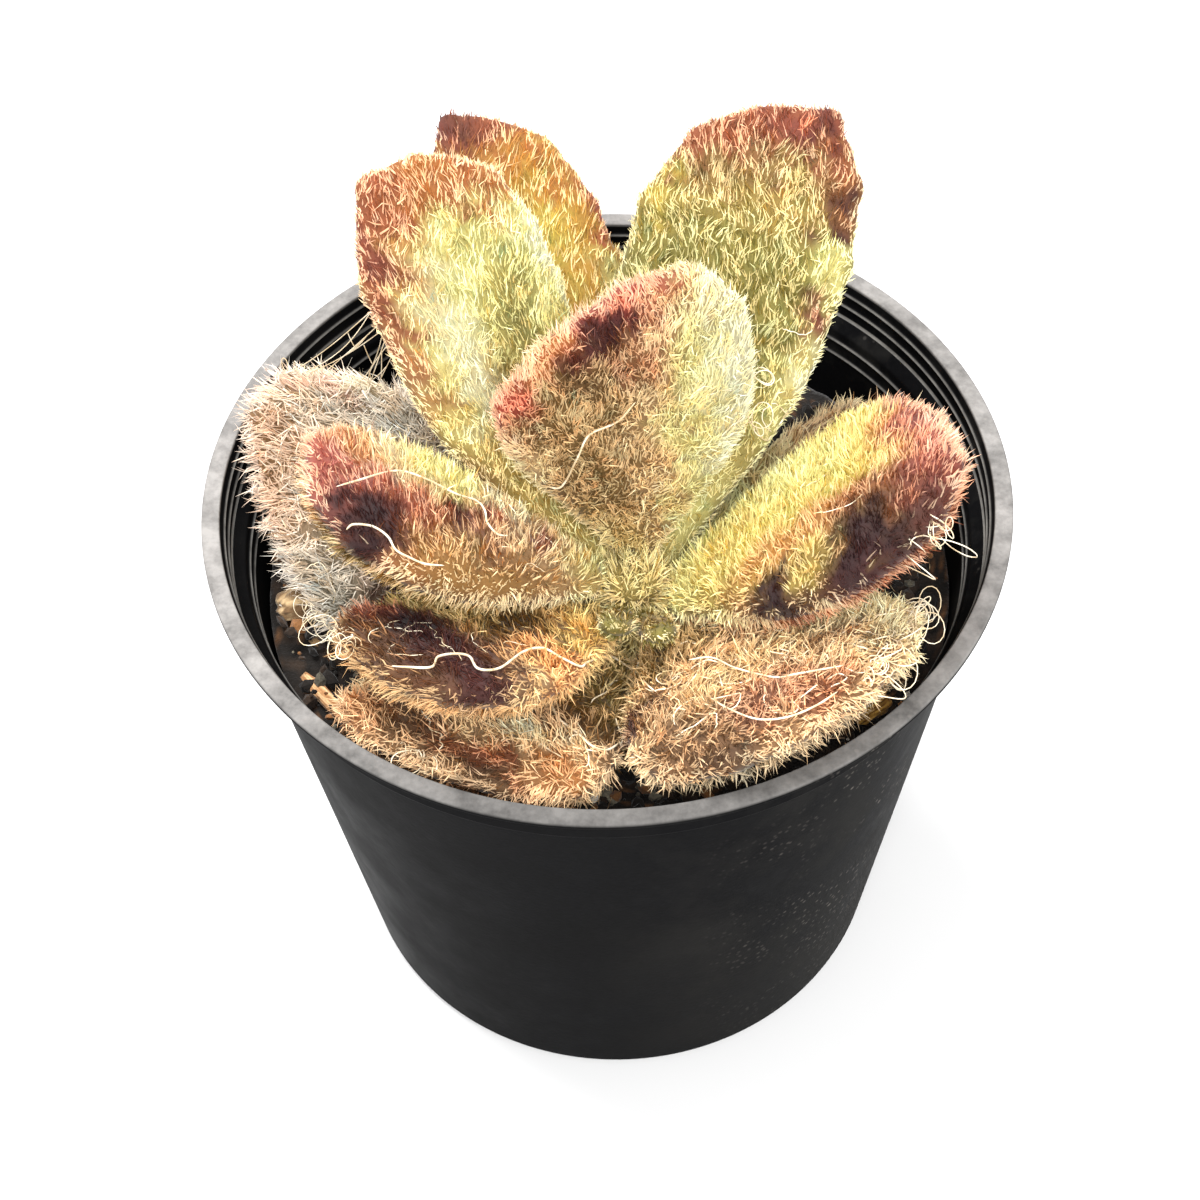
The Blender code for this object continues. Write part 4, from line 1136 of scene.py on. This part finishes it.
def paintHairs(rng, colour, edge, tuft, coat):
    # Pale hairs are rarer where the skin is dark, and more and paler at the margin. Each tuft has a tinge of
    # its own. Returns which hairs are pale, and the colours of roots and tips.
    form = hairForm
    count, tufts = len(tuft), tuft.max() + 1
    bright = colour @ (0.3, 0.6, 0.1)
    halo = smoothStep(0.88, 1, edge)
    chance = coat["pale"] * (0.15 + 0.85 * smoothStep(0.03, 0.25, bright)) * (1 + halo)
    luck = 0.6 * rng.uniform(0, 1, count) + 0.4 * rng.uniform(0, 1, tufts)[tuft]
    pale = luck < chance
    tinge = 1 + rng.normal(0, 1, (tufts, 1))[tuft] * form["tinge"]
    colour = colour * np.clip(tinge, 0.5, 1.5)
    lift = np.minimum(2.1, 1.15 / np.maximum(colour.max(1), 0.02))[:, None]
    light = blendIn(lift * colour, screenColour(coat.get("tint", form["pale"])),
                    0.12 + 0.33 * smoothStep(0.03, 0.3, bright) + 0.2 * halo)
    rootDark = colour * rng.uniform(*form["rootShades"], (count, 1))
    rootColour = np.where(pale[:, None], form["paleRoot"] * light, rootDark)
    tipColour = np.where(pale[:, None], light, colour * rng.uniform(*form["tipShades"], (count, 1)))
    return pale, np.clip(rootColour, 0, 0.95), np.clip(tipColour, 0, 0.95)


def growHairs(points, faces, places, colours, coat, seed):
    # Hairs are three-sided spikes: straight ones of four faces, and bent ones of ten for the share that
    # curls. Returns their points, faces, colours and places on the export's map.
    form = hairForm
    rng = np.random.default_rng(seed)
    count = int(coat["count"] * form["density"])
    root, colour, edge, normal, slope = spreadRoots(rng, points, faces, places, colours, coat, count)
    way, long, tip, tuft = combHairs(rng, root, edge, normal, slope, coat, seed)
    pale, rootColour, tipColour = paintHairs(rng, colour, edge, tuft, coat)

    thick = form["thick"] * mm * rng.uniform(*form["thicknesses"], count)
    thick = thick * np.where(pale, form["thickPale"], form["thickDark"])
    sideways = unit(np.cross(way, rng.normal(size=(count, 3))))
    ring = ringsRound(sideways, np.cross(way, sideways), 3)
    base = (root - form["sunk"] * mm * normal)[:, None] + ring * thick[:, None, None]

    bent = rng.uniform(0, 1, count) < form["bent"] + 0.3 * coat["curl"]
    straight = ~bent
    n, m = straight.sum(), bent.sum()
    spikes = np.concatenate([base[straight], tip[straight][:, None]], 1)
    spikeFaces = np.array([(0, 2, 1), (0, 1, 3), (1, 2, 3), (2, 0, 3)])
    lower = (form["knee"] * long)[:, None]
    knee = (root + way * lower)[bent][:, None] + 0.75 * ring[bent] * thick[bent][:, None, None]
    curl = unit(way + (0.3 + coat["curl"]) * rng.normal(0, 0.9, (count, 3)) + 0.2 * normal)
    end = (root + way * lower + curl * lower)[bent]
    hooks = np.concatenate([base[bent], knee, end[:, None]], 1)
    hookFaces = np.array([(0, 2, 1), (0, 1, 4), (0, 4, 3), (1, 2, 5), (1, 5, 4), (2, 0, 3), (2, 3, 5),
                          (3, 4, 6), (4, 5, 6), (5, 3, 6)])
    allPoints, allFaces = joined([(spikes.reshape(-1, 3), repeatFaces(spikeFaces, 4, n)),
                                  (hooks.reshape(-1, 3), repeatFaces(hookFaces, 7, m))])
    halfColour = (rootColour + tipColour) / 2
    spikeColours = np.stack([rootColour] * 3 + [tipColour], 1)[straight].reshape(-1, 3)
    hookColours = np.stack([rootColour] * 3 + [halfColour] * 3 + [tipColour], 1)[bent].reshape(-1, 3)

    # on the export's map each hair has a cell of its own, root at the cell's foot and tip at its head
    columns = math.ceil(math.sqrt(count))
    foot = np.stack([np.arange(count) % columns, np.arange(count) // columns], 1)[:, None] + 0.0
    rootSpots = [(0.2, 0.15), (0.5, 0.12), (0.8, 0.15)]
    kneeSpots = [(0.3, 0.5), (0.5, 0.48), (0.7, 0.5)]
    tipSpot = [(0.5, 0.9)]
    spots = [(foot[:n] + np.array(rootSpots + tipSpot)).reshape(-1, 2),
             (foot[n:] + np.array(rootSpots + kneeSpots + tipSpot)).reshape(-1, 2)]
    return allPoints, allFaces, np.concatenate([spikeColours, hookColours]), np.concatenate(spots) / columns


def buildFurred(name, node, skin, colours, coat, seed, mottle, hair):
    # The skin takes the place of its solid, in the coat's colours darkened as painted shade between the
    # hairs, and the coat rides on it. Returns how many faces the hairs have.
    points, faces, _ = skin
    # painted shade: the skin is darkened to a share of the coat's colours, for the shade between the hairs
    shaded = colours * hairForm["skinPaintedShade"]
    piece = buildPiece(name, points, faces, feltMaterial(name, mottle), colours=shaded)
    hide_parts(node)
    points, faces, colours, spots = growHairs(*skin, colours, coat, seed)
    buildPiece(node + "_hairs", points, faces, hair, smooth=False, colours=colours, bakeMap=spots)
    return len(faces)


def makeLeaves(mottle, hair):
    # the skin and coat of each leaf; returns the skins by name
    skins = {}
    for seed, (name, leaf) in enumerate(leaves.items()):
        skin = leafSkin(leaf, 100 + 10 * seed)
        points, faces, places = skins[name] = skin
        colours = leafPaint(leaf, points, places, 300 + 10 * seed)
        hairs = buildFurred(name + "_skin", name, skin, colours, leaf["coat"], 500 + seed, mottle, hair)
        print(name, len(faces), "skin faces and", hairs, "hair faces")
    return skins


# Stem

stemForm = dict(
    radius=3, above=14.4, below=12, taper=0.8, rows=90, sides=60, scarEvery=2.6,
    bark=(186, 164, 92), scar=(150, 124, 66),
    coat=dict(count=3200, length=2.2, lie=0.1, curl=0.6, pale=0.6, trim=0, below=0),
)


def makeStem(mottle, hair):
    # A profile on the lathe: a domed top, low rings where old leaves came off, and a taper below the soil.
    # Hairs grow above the soil only, as the rest of the skin counts as its underside.
    s = stemForm
    r, top, bottom = s["radius"], soil["top"] + s["above"], soil["top"] - s["below"]
    dome = 0.5 * r
    rough = roundedPath([
        (0, top, 0), (0.7 * r, top - 0.3 * dome, 0.4), (r, top - dome, 0.5),
        (r, soil["top"] - 0.3 * s["below"], 0.5), (s["taper"] * r, bottom + 1.5, 0.5),
        (0.4 * r, bottom, 0.3), (0, bottom, 0),
    ], 6)
    path = pathLength(*rough.T)
    profile = interpolate(np.linspace(0, path[-1], s["rows"]), path, rough)
    rings = 1 - 0.03 * smoothStep(0.3, 0.9, np.sin(profile[:, 1] * math.tau / s["scarEvery"]))
    profile[:, 0] *= rings
    points, faces = lathe(profile, s["sides"], soil["stem"])
    ringed = np.sin(points[:, 2] / mm * math.tau / s["scarEvery"])
    tone = smoothStep(0.2, 0.9, ringed + 0.4 * ripples(points, 2 * mm, 77))
    colours = blendIn(screenColour(s["bark"]), screenColour(s["scar"]), 0.8 * tone)
    points, faces, (colours,) = mergePoints(points, faces, [colours])
    shown = points[:, 2] / mm > soil["top"] + 1
    none = np.zeros(len(points))
    places = np.stack([none, np.where(shown, 1 + points[:, 2], 0), none, np.where(shown, 1.0, -1.0)], 1)
    skin = (points, outward(points, faces), places)
    buildFurred("stem_bark", "stem", skin, colours, s["coat"], 901, mottle, hair)


# Stray fibres

# Each run is a leaf and the fibre's stops over it: across, along, and height in mm over the felt, which is
# fibreLift deep.
fibreLift = 0.35
fibres = {
    "fibre_centre": dict(radius=0.13, runs=[
        ("leaf_centre", [(-0.86, 0.27, 0.9), (-0.6, 0.33, 0.7), (-0.46, 0.47, 0.7), (-0.36, 0.56, 0.6),
            (-0.16, 0.59, 0.6), (0.02, 0.65, 0.5)])]),
    "fibre_left": dict(radius=0.12, runs=[
        ("leaf_left", [(-0.38, 0.96, 0.6), (-0.22, 0.89, 0.6), (0.08, 0.75, 0.6), (0.22, 0.66, 0.6),
            (0.16, 0.55, 0.6), (0.18, 0.48, 0.7), (0.05, 0.46, 0.7), (-0.16, 0.45, 0.6), (-0.28, 0.42, 0.6),
            (-0.21, 0.38, 0.4)])]),
    "fibre_left_low": dict(radius=0.12, runs=[
        ("leaf_left", [(-0.9, 0.95, 0.6), (-0.82, 0.9, 0.6), (-0.8, 0.85, 0.6), (-0.86, 0.8, 0.6),
            (-0.96, 0.77, 0.6), (-1.0, 0.72, 0.7), (-1.02, 0.67, 0.7), (-0.96, 0.61, 0.5)])]),
    "fibre_front": dict(radius=0.13, runs=[
        ("leaf_front_left", [(-0.35, 1.0, 0.8), (-0.44, 0.97, 0.8), (-0.57, 0.91, 0.8), (-0.48, 0.86, 0.8),
            (-0.48, 0.8, 0.8), (-0.59, 0.77, 0.8), (-0.77, 0.78, 0.8), (-0.83, 0.71, 0.8),
            (-0.68, 0.59, 0.8), (-0.66, 0.5, 0.8), (-0.79, 0.46, 0.8), (-0.84, 0.38, 0.8),
            (-0.8, 0.3, 0.6)]),
        ("leaf_low_front_left", [(-0.12, 0.12, 2.0), (-0.25, 0.05, 1.2)]),
        ("leaf_low_front_right", [(0.5, 0.33, 0.8), (0.53, 0.41, 0.8)])]),
    "fibre_low_front": dict(radius=0.12, runs=[
        ("leaf_low_front_left", [(-0.19, 0.46, 0.8), (-0.41, 0.53, 0.8), (-0.64, 0.55, 0.8),
            (-0.81, 0.55, 0.8), (-0.87, 0.5, 0.8), (-0.83, 0.39, 0.6)])]),
    "fibre_low_right": dict(radius=0.11, runs=[
        ("leaf_low_front_right", [(0.4, 0.64, 0.9), (0.42, 0.74, 0.9), (0.43, 0.88, 0.9), (0.31, 0.95, 0.9),
            (0.13, 0.97, 0.9), (-0.04, 0.98, 0.8)])]),
    "fibre_low_right_upper": dict(radius=0.11, runs=[
        ("leaf_low_front_right", [(0.19, 0.37, 0.9), (0.1, 0.46, 0.9), (0.1, 0.6, 0.9), (0.1, 0.75, 0.9),
            (-0.01, 0.83, 0.9), (-0.22, 0.9, 0.9)])]),
}
fibrePaint = dict(cream=(250, 238, 212), shade=(214, 192, 154))

# Short curled fibres lying in the felt. box: from and to, across and along the leaf; long and loop in mm.
curls = {
    "leaf_low_front_right": dict(count=34, box=(-1, 0.2, 0.9, 1), long=8, loop=1.6, radius=0.08),
    "leaf_low_front_left": dict(count=20, box=(-1, 0.3, 0.8, 1), long=7, loop=1.8, radius=0.08),
    "leaf_front_left": dict(count=9, box=(-1, 0.4, 0.3, 1), long=6, loop=2.2, radius=0.045),
    "leaf_low_left": dict(count=18, box=(-0.9, 0.4, 1, 1), long=7, loop=2, radius=0.07),
    "leaf_right": dict(count=3, box=(-0.9, 0.2, 0.6, 0.9), long=5, loop=2.2, radius=0.055),
    "leaf_left": dict(count=4, box=(-0.9, 0.2, 0.8, 0.9), long=5, loop=2.2, radius=0.055),
    "leaf_centre": dict(count=6, box=(0.2, 0.15, 0.95, 0.6), long=4, loop=2.4, radius=0.06),
    "leaf_back_right": dict(count=5, box=(0.5, 0.3, 0.95, 0.6), long=4, loop=2.2, radius=0.06),
}

# Loose tangles that hang off a leaf's margin. edge: from and to, across and along the leaf; away: which way
# they stand; size and radius in mm.
tangles = {
    "tangle_right": dict(
        leaf="leaf_low_front_right", count=26, edge=(-0.98, 0.74, -0.15, 1.0), away=(1, 0, 0.1),
        size=4.6, radius=0.06),
    "tangle_right_back": dict(
        leaf="leaf_right", count=6, edge=(1.0, 0.74, 0.9, 0.96), away=(0.8, -0.4, -0.7), size=6, radius=0.06),
    "tangle_left": dict(
        leaf="leaf_front_left", count=9, edge=(0.6, 0.96, 0.1, 1), away=(-0.9, 0, -0.3),
        size=4.5, radius=0.045),
    "tangle_low_left": dict(
        leaf="leaf_low_left", count=16, edge=(-1, 0.55, -0.9, 0.9), away=(-0.6, -0.7, -0.2),
        size=3.4, radius=0.045),
    "tangle_back": dict(
        leaf="leaf_low_left", count=14, edge=(0.95, 0.6, 0.9, 0.97), away=(-0.2, 0.8, 0.3),
        size=2.4, radius=0.055),
    "tangle_centre": dict(
        leaf="leaf_centre", count=3, edge=(0.95, 0.42, 1, 0.62), away=(1, 0.1, 0), size=3.2, radius=0.06),
    "tangle_front": dict(
        leaf="leaf_low_front_left", count=6, edge=(0.35, 0.96, -0.3, 1), away=(-0.3, -0.9, 0),
        size=3.6, radius=0.06),
}

# A net of threads between the margins of two leaves, from and to, across and along each leaf.
web = dict(
    low=("leaf_low_left", (0.98, 0.62), (0.9, 0.93)), high=("leaf_back_left", (-1.0, 0.6), (-1.03, 0.76)),
    threads=10, ties=14, radius=0.055, uneven=0.06,  # how far a thread's ends stray, as a share of the edge
    sag=(0.2, 1), sway=(0.5, 0.3), tieSag=0.2,  # in mm
)


# What all curls and tangles share. points: stops of a thread. A pair is from and to. lengths and sizes are
# shares of a curl's or tangle's own, and heights are in mm.
curlForm = dict(
    points=22, lengths=(0.5, 1.2), turning=(0.5, 1.3), turnChange=0.9, changeWaves=(4, 9),
    height=0.7, heightSwing=0.35, heightWaves=(3, 8), across=(-0.92, 0.92), along=(0.05, 0.97),
)
tangleForm = dict(
    points=36, apart=(0.05, 0.2), astray=0.3, sizes=(0.3, 1.1), turns=(1, 2.6), wander=0.005, swing=0.35,
    flat=0.5,
)


def smoothPath(points, steps=9):
    # Catmull-Rom through the points: each span is a cubic whose ends head along its neighbours
    points = np.asarray(points, float)
    wide = np.concatenate([2 * points[:1] - points[1:2], points, 2 * points[-1:] - points[-2:-1]])
    t = np.linspace(0, 1, steps, endpoint=False)[:, None, None]
    a, b, c, d = wide[:-3], wide[1:-2], wide[2:-1], wide[3:]
    square, cube = 2 * a - 5 * b + 4 * c - d, 3 * b - a - 3 * c + d
    spans = 0.5 * (2 * b + (c - a) * t + square * t ** 2 + cube * t ** 3)
    return np.concatenate([spans.transpose(1, 0, 2).reshape(-1, 3), points[-1:]])


def tubeAlong(path, radius, sides=5):
    # a circle carried along the path, drawn in to a point at each end
    ahead = unit(np.gradient(path, axis=0))
    side = unit(np.cross(ahead, (0.23, -0.17, 0.96)))
    up = np.cross(side, ahead)
    along = np.linspace(0, 1, len(path))
    size = radius * np.sqrt(np.clip(np.minimum(along, 1 - along) * 12, 0, 1))
    points = (path[:, None] + ringsRound(side, up, sides) * size[:, None, None]).reshape(-1, 3)
    points, faces, _ = mergePoints(points, gridFaces(len(path), sides, wrap=True), [])
    return points, outward(points, faces)


def overLeaf(skin, across, along, height):
    # points over a leaf's upper skin: the weighted mean of the nearest skin points, lifted by height in mm
    points, _, places = skin
    top = places[:, 3] > 0
    gap = np.hypot(places[top, 0] - across[:, None], 2.5 * (places[top, 1] - along[:, None]))
    near = np.argpartition(gap, 5, axis=1)[:, :5]
    weight = 1 / (np.take_along_axis(gap, near, 1) + 0.01) ** 2
    spots = (points[top][near] * weight[:, :, None]).sum(1) / weight.sum(1)[:, None]
    up = unit(np.array([0, -0.35, 0.94]) + 0.2 * unit(spots - points.mean(0)))
    return spots + up * (height * mm)


def keepWithin(values, low, high):
    # the whole row of values slid back between low and high, and pressed together where it's too long
    values = values + max(0, low - values.min()) - max(0, values.max() - high)
    return np.clip(values, low, high)


def buildFibres(name, paths, radius, material, paint=fibrePaint):
    # all the tubes of one piece, with paler and darker stretches
    points, faces = joined([tubeAlong(path, radius * mm) for path in paths])
    tone = smoothStep(-0.8, 0.8, ripples(points, 2 * mm, 5))
    colours = blendIn(screenColour(paint["shade"]), screenColour(paint["cream"]), tone)
    buildPiece(name, points, faces, material, colours=colours)


def makeFibres(skins, hair):
    # each is a smooth line through its stops over the leaves
    for name, fibre in fibres.items():
        stops = [overLeaf(skins[leaf], np.array([across]), np.array([along]), height + fibreLift)[0]
                 for leaf, run in fibre["runs"] for across, along, height in run]
        buildFibres(name, [smoothPath(stops)], fibre["radius"], hair)


def makeCurls(skins, hair):
    # a curl wanders over its leaf: its heading adds up turns of about 1 / loop per mm, which slowly change
    form = curlForm
    for seed, (leafName, curl) in enumerate(curls.items()):
        rng = np.random.default_rng(700 + seed)
        leaf = leaves[leafName]
        step = np.linspace(0, 1, form["points"])
        paths = []
        for _ in range(curl["count"]):
            a0, b0, a1, b1 = curl["box"]
            bend = rng.choice((-1, 1)) * rng.uniform(*form["turning"])
            change = np.sin(step * rng.uniform(*form["changeWaves"]) + rng.uniform(0, 6))
            bend = bend + form["turnChange"] * change
            long = curl["long"] * rng.uniform(*form["lengths"])
            heading = rng.uniform(0, math.tau) + np.cumsum(bend) * long / len(step) / curl["loop"]
            x = np.cumsum(np.cos(heading)) * long / len(step)
            y = np.cumsum(np.sin(heading)) * long / len(step)
            across = keepWithin(rng.uniform(a0, a1) + x / (leaf["width"] / 2), *form["across"])
            along = keepWithin(rng.uniform(b0, b1) + y / leaf["length"], *form["along"])
            swing = np.sin(step * rng.uniform(*form["heightWaves"]) + rng.uniform(0, 6))
            height = form["height"] + form["heightSwing"] * swing
            path = overLeaf(skins[leafName], across, along, height[:, None])
            path[1:-1] = (path[:-2] + 2 * path[1:-1] + path[2:]) / 4
            paths.append(path)
        buildFibres("curls_" + leafName, paths, curl["radius"], hair)


def makeTangles(skins, hair):
    # a thread leaves the margin, circles once or more with a wander that adds up twice, and comes back to it
    form = tangleForm
    for seed, (name, tangle) in enumerate(tangles.items()):
        rng = np.random.default_rng(800 + seed)
        a0, b0, a1, b1 = tangle["edge"]
        t = np.linspace(0, 1, form["points"])[:, None]
        paths = []
        for _ in range(tangle["count"]):
            share = np.clip(rng.uniform(0, 1) + rng.uniform(*form["apart"]) * np.array([-1, 1]), 0, 1)
            ends = overLeaf(skins[tangle["leaf"]], a0 + (a1 - a0) * share, b0 + (b1 - b0) * share ** 0.6, 0.1)
            away = unit((np.array(tangle["away"]) + rng.normal(0, form["astray"], 3))[None])[0]
            side = np.cross(away, unit(rng.normal(size=(1, 3)) + (0, 0, 1.5))[0])
            size = tangle["size"] * mm * rng.uniform(*form["sizes"])
            turns, phase = rng.uniform(*form["turns"]), rng.uniform(0, 6)
            turn = math.tau * turns * t + phase
            out = np.sin(math.pi * t) ** 0.7
            wander = np.cumsum(np.cumsum(rng.normal(0, form["wander"], (len(t), 3)), 0), 0)
            path = ends[0] * (1 - t) + ends[1] * t + out * size * (wander - wander.mean(0))
            path = path + away * size * out * (1 - form["swing"] + form["swing"] * np.cos(turn))
            path = path + side * size * out * form["flat"] * np.sin(turn)
            paths.append(path)
        buildFibres(name, paths, tangle["radius"], hair)


def makeWeb(skins, hair):
    # threads run from one margin to the other and sag a little, and ties join places on neighbouring threads
    rng = np.random.default_rng(850)
    starts, stops = [], []
    for (leaf, first, last), spots in ((web["low"], starts), (web["high"], stops)):
        share = np.linspace(0, 1, web["threads"]) + rng.normal(0, web["uneven"], web["threads"])
        share = np.clip(share, 0, 1)[:, None]
        places = np.array(first) * (1 - share) + np.array(last) * share
        spots.append(overLeaf(skins[leaf], places[:, 0], places[:, 1], 0.1))
    t = np.linspace(0, 1, 12)[:, None]
    threads = []
    for start, stop in zip(starts[0], stops[0]):
        sway = [rng.normal(0, wide) for wide in web["sway"]]
        sag = np.array([*sway, -rng.uniform(*web["sag"])]) * mm
        threads.append(start * (1 - t) + stop * t + sag * np.sin(math.pi * t))
    paths = list(threads)
    for _ in range(web["ties"]):
        one = rng.integers(len(threads) - 2)
        start = threads[one][rng.integers(2, 10)]
        stop = threads[one + rng.integers(1, 3)][rng.integers(2, 10)]
        paths.append(start * (1 - t) + stop * t + (0, 0, -web["tieSag"] * mm) * np.sin(math.pi * t))
    buildFibres("web_left", paths, web["radius"], hair)


# Roots and shreds that lie on the soil

shreds = dict(
    count=130, long=(2.5, 8), radius=0.07, lift=0.7, wallRoom=1.5, seed=33,
    cream=(188, 162, 124), shade=(92, 72, 52),
)


def makeShreds(hair):
    # each is a level path whose heading turns evenly, lifted over the soil
    s = shreds
    rng = np.random.default_rng(s["seed"])
    reach = wallRadius(soil["top"]) - pot["wall"] - s["wallRoom"]
    steps = 9
    paths = []
    for _ in range(s["count"]):
        way, out = rng.uniform(0, math.tau), (reach - 1) * math.sqrt(rng.uniform(0.1, 1))
        long = rng.uniform(*s["long"])
        heading = rng.uniform(0, math.tau) + np.linspace(0, rng.uniform(-2, 2), steps)
        x = out * math.cos(way) + np.cumsum(np.cos(heading)) * long / steps
        y = out * math.sin(way) + np.cumsum(np.sin(heading)) * long / steps
        far = np.maximum(np.hypot(x, y) / reach, 1)
        x, y = x / far, y / far
        z = soilTop(x, y) + s["lift"] + 0.3 * np.sin(np.linspace(0, 5, steps) + way)
        paths.append(np.stack([x, y, z], 1) * mm)
    buildFibres("soil_shreds", paths, s["radius"], hair, s)


placeCamera()
mottle = mottleGroup()
setStudio(mottle)
print("camera, floor and light are set")
makePot(mottle)
print("pot done")
soilMix = makeSoil(mottle)
makeCrumbs(soilMix)
makeSoilBits(mottle)
print("soil, crumbs and bits done")
hairFibre = hairMaterial("hair_fibre", mottle)
skins = makeLeaves(mottle, hairFibre)
makeStem(mottle, hairFibre)
makeFibres(skins, hairFibre)
makeCurls(skins, hairFibre)
makeTangles(skins, hairFibre)
makeWeb(skins, hairFibre)
makeShreds(hairFibre)
print("leaves, stem and fibres done")
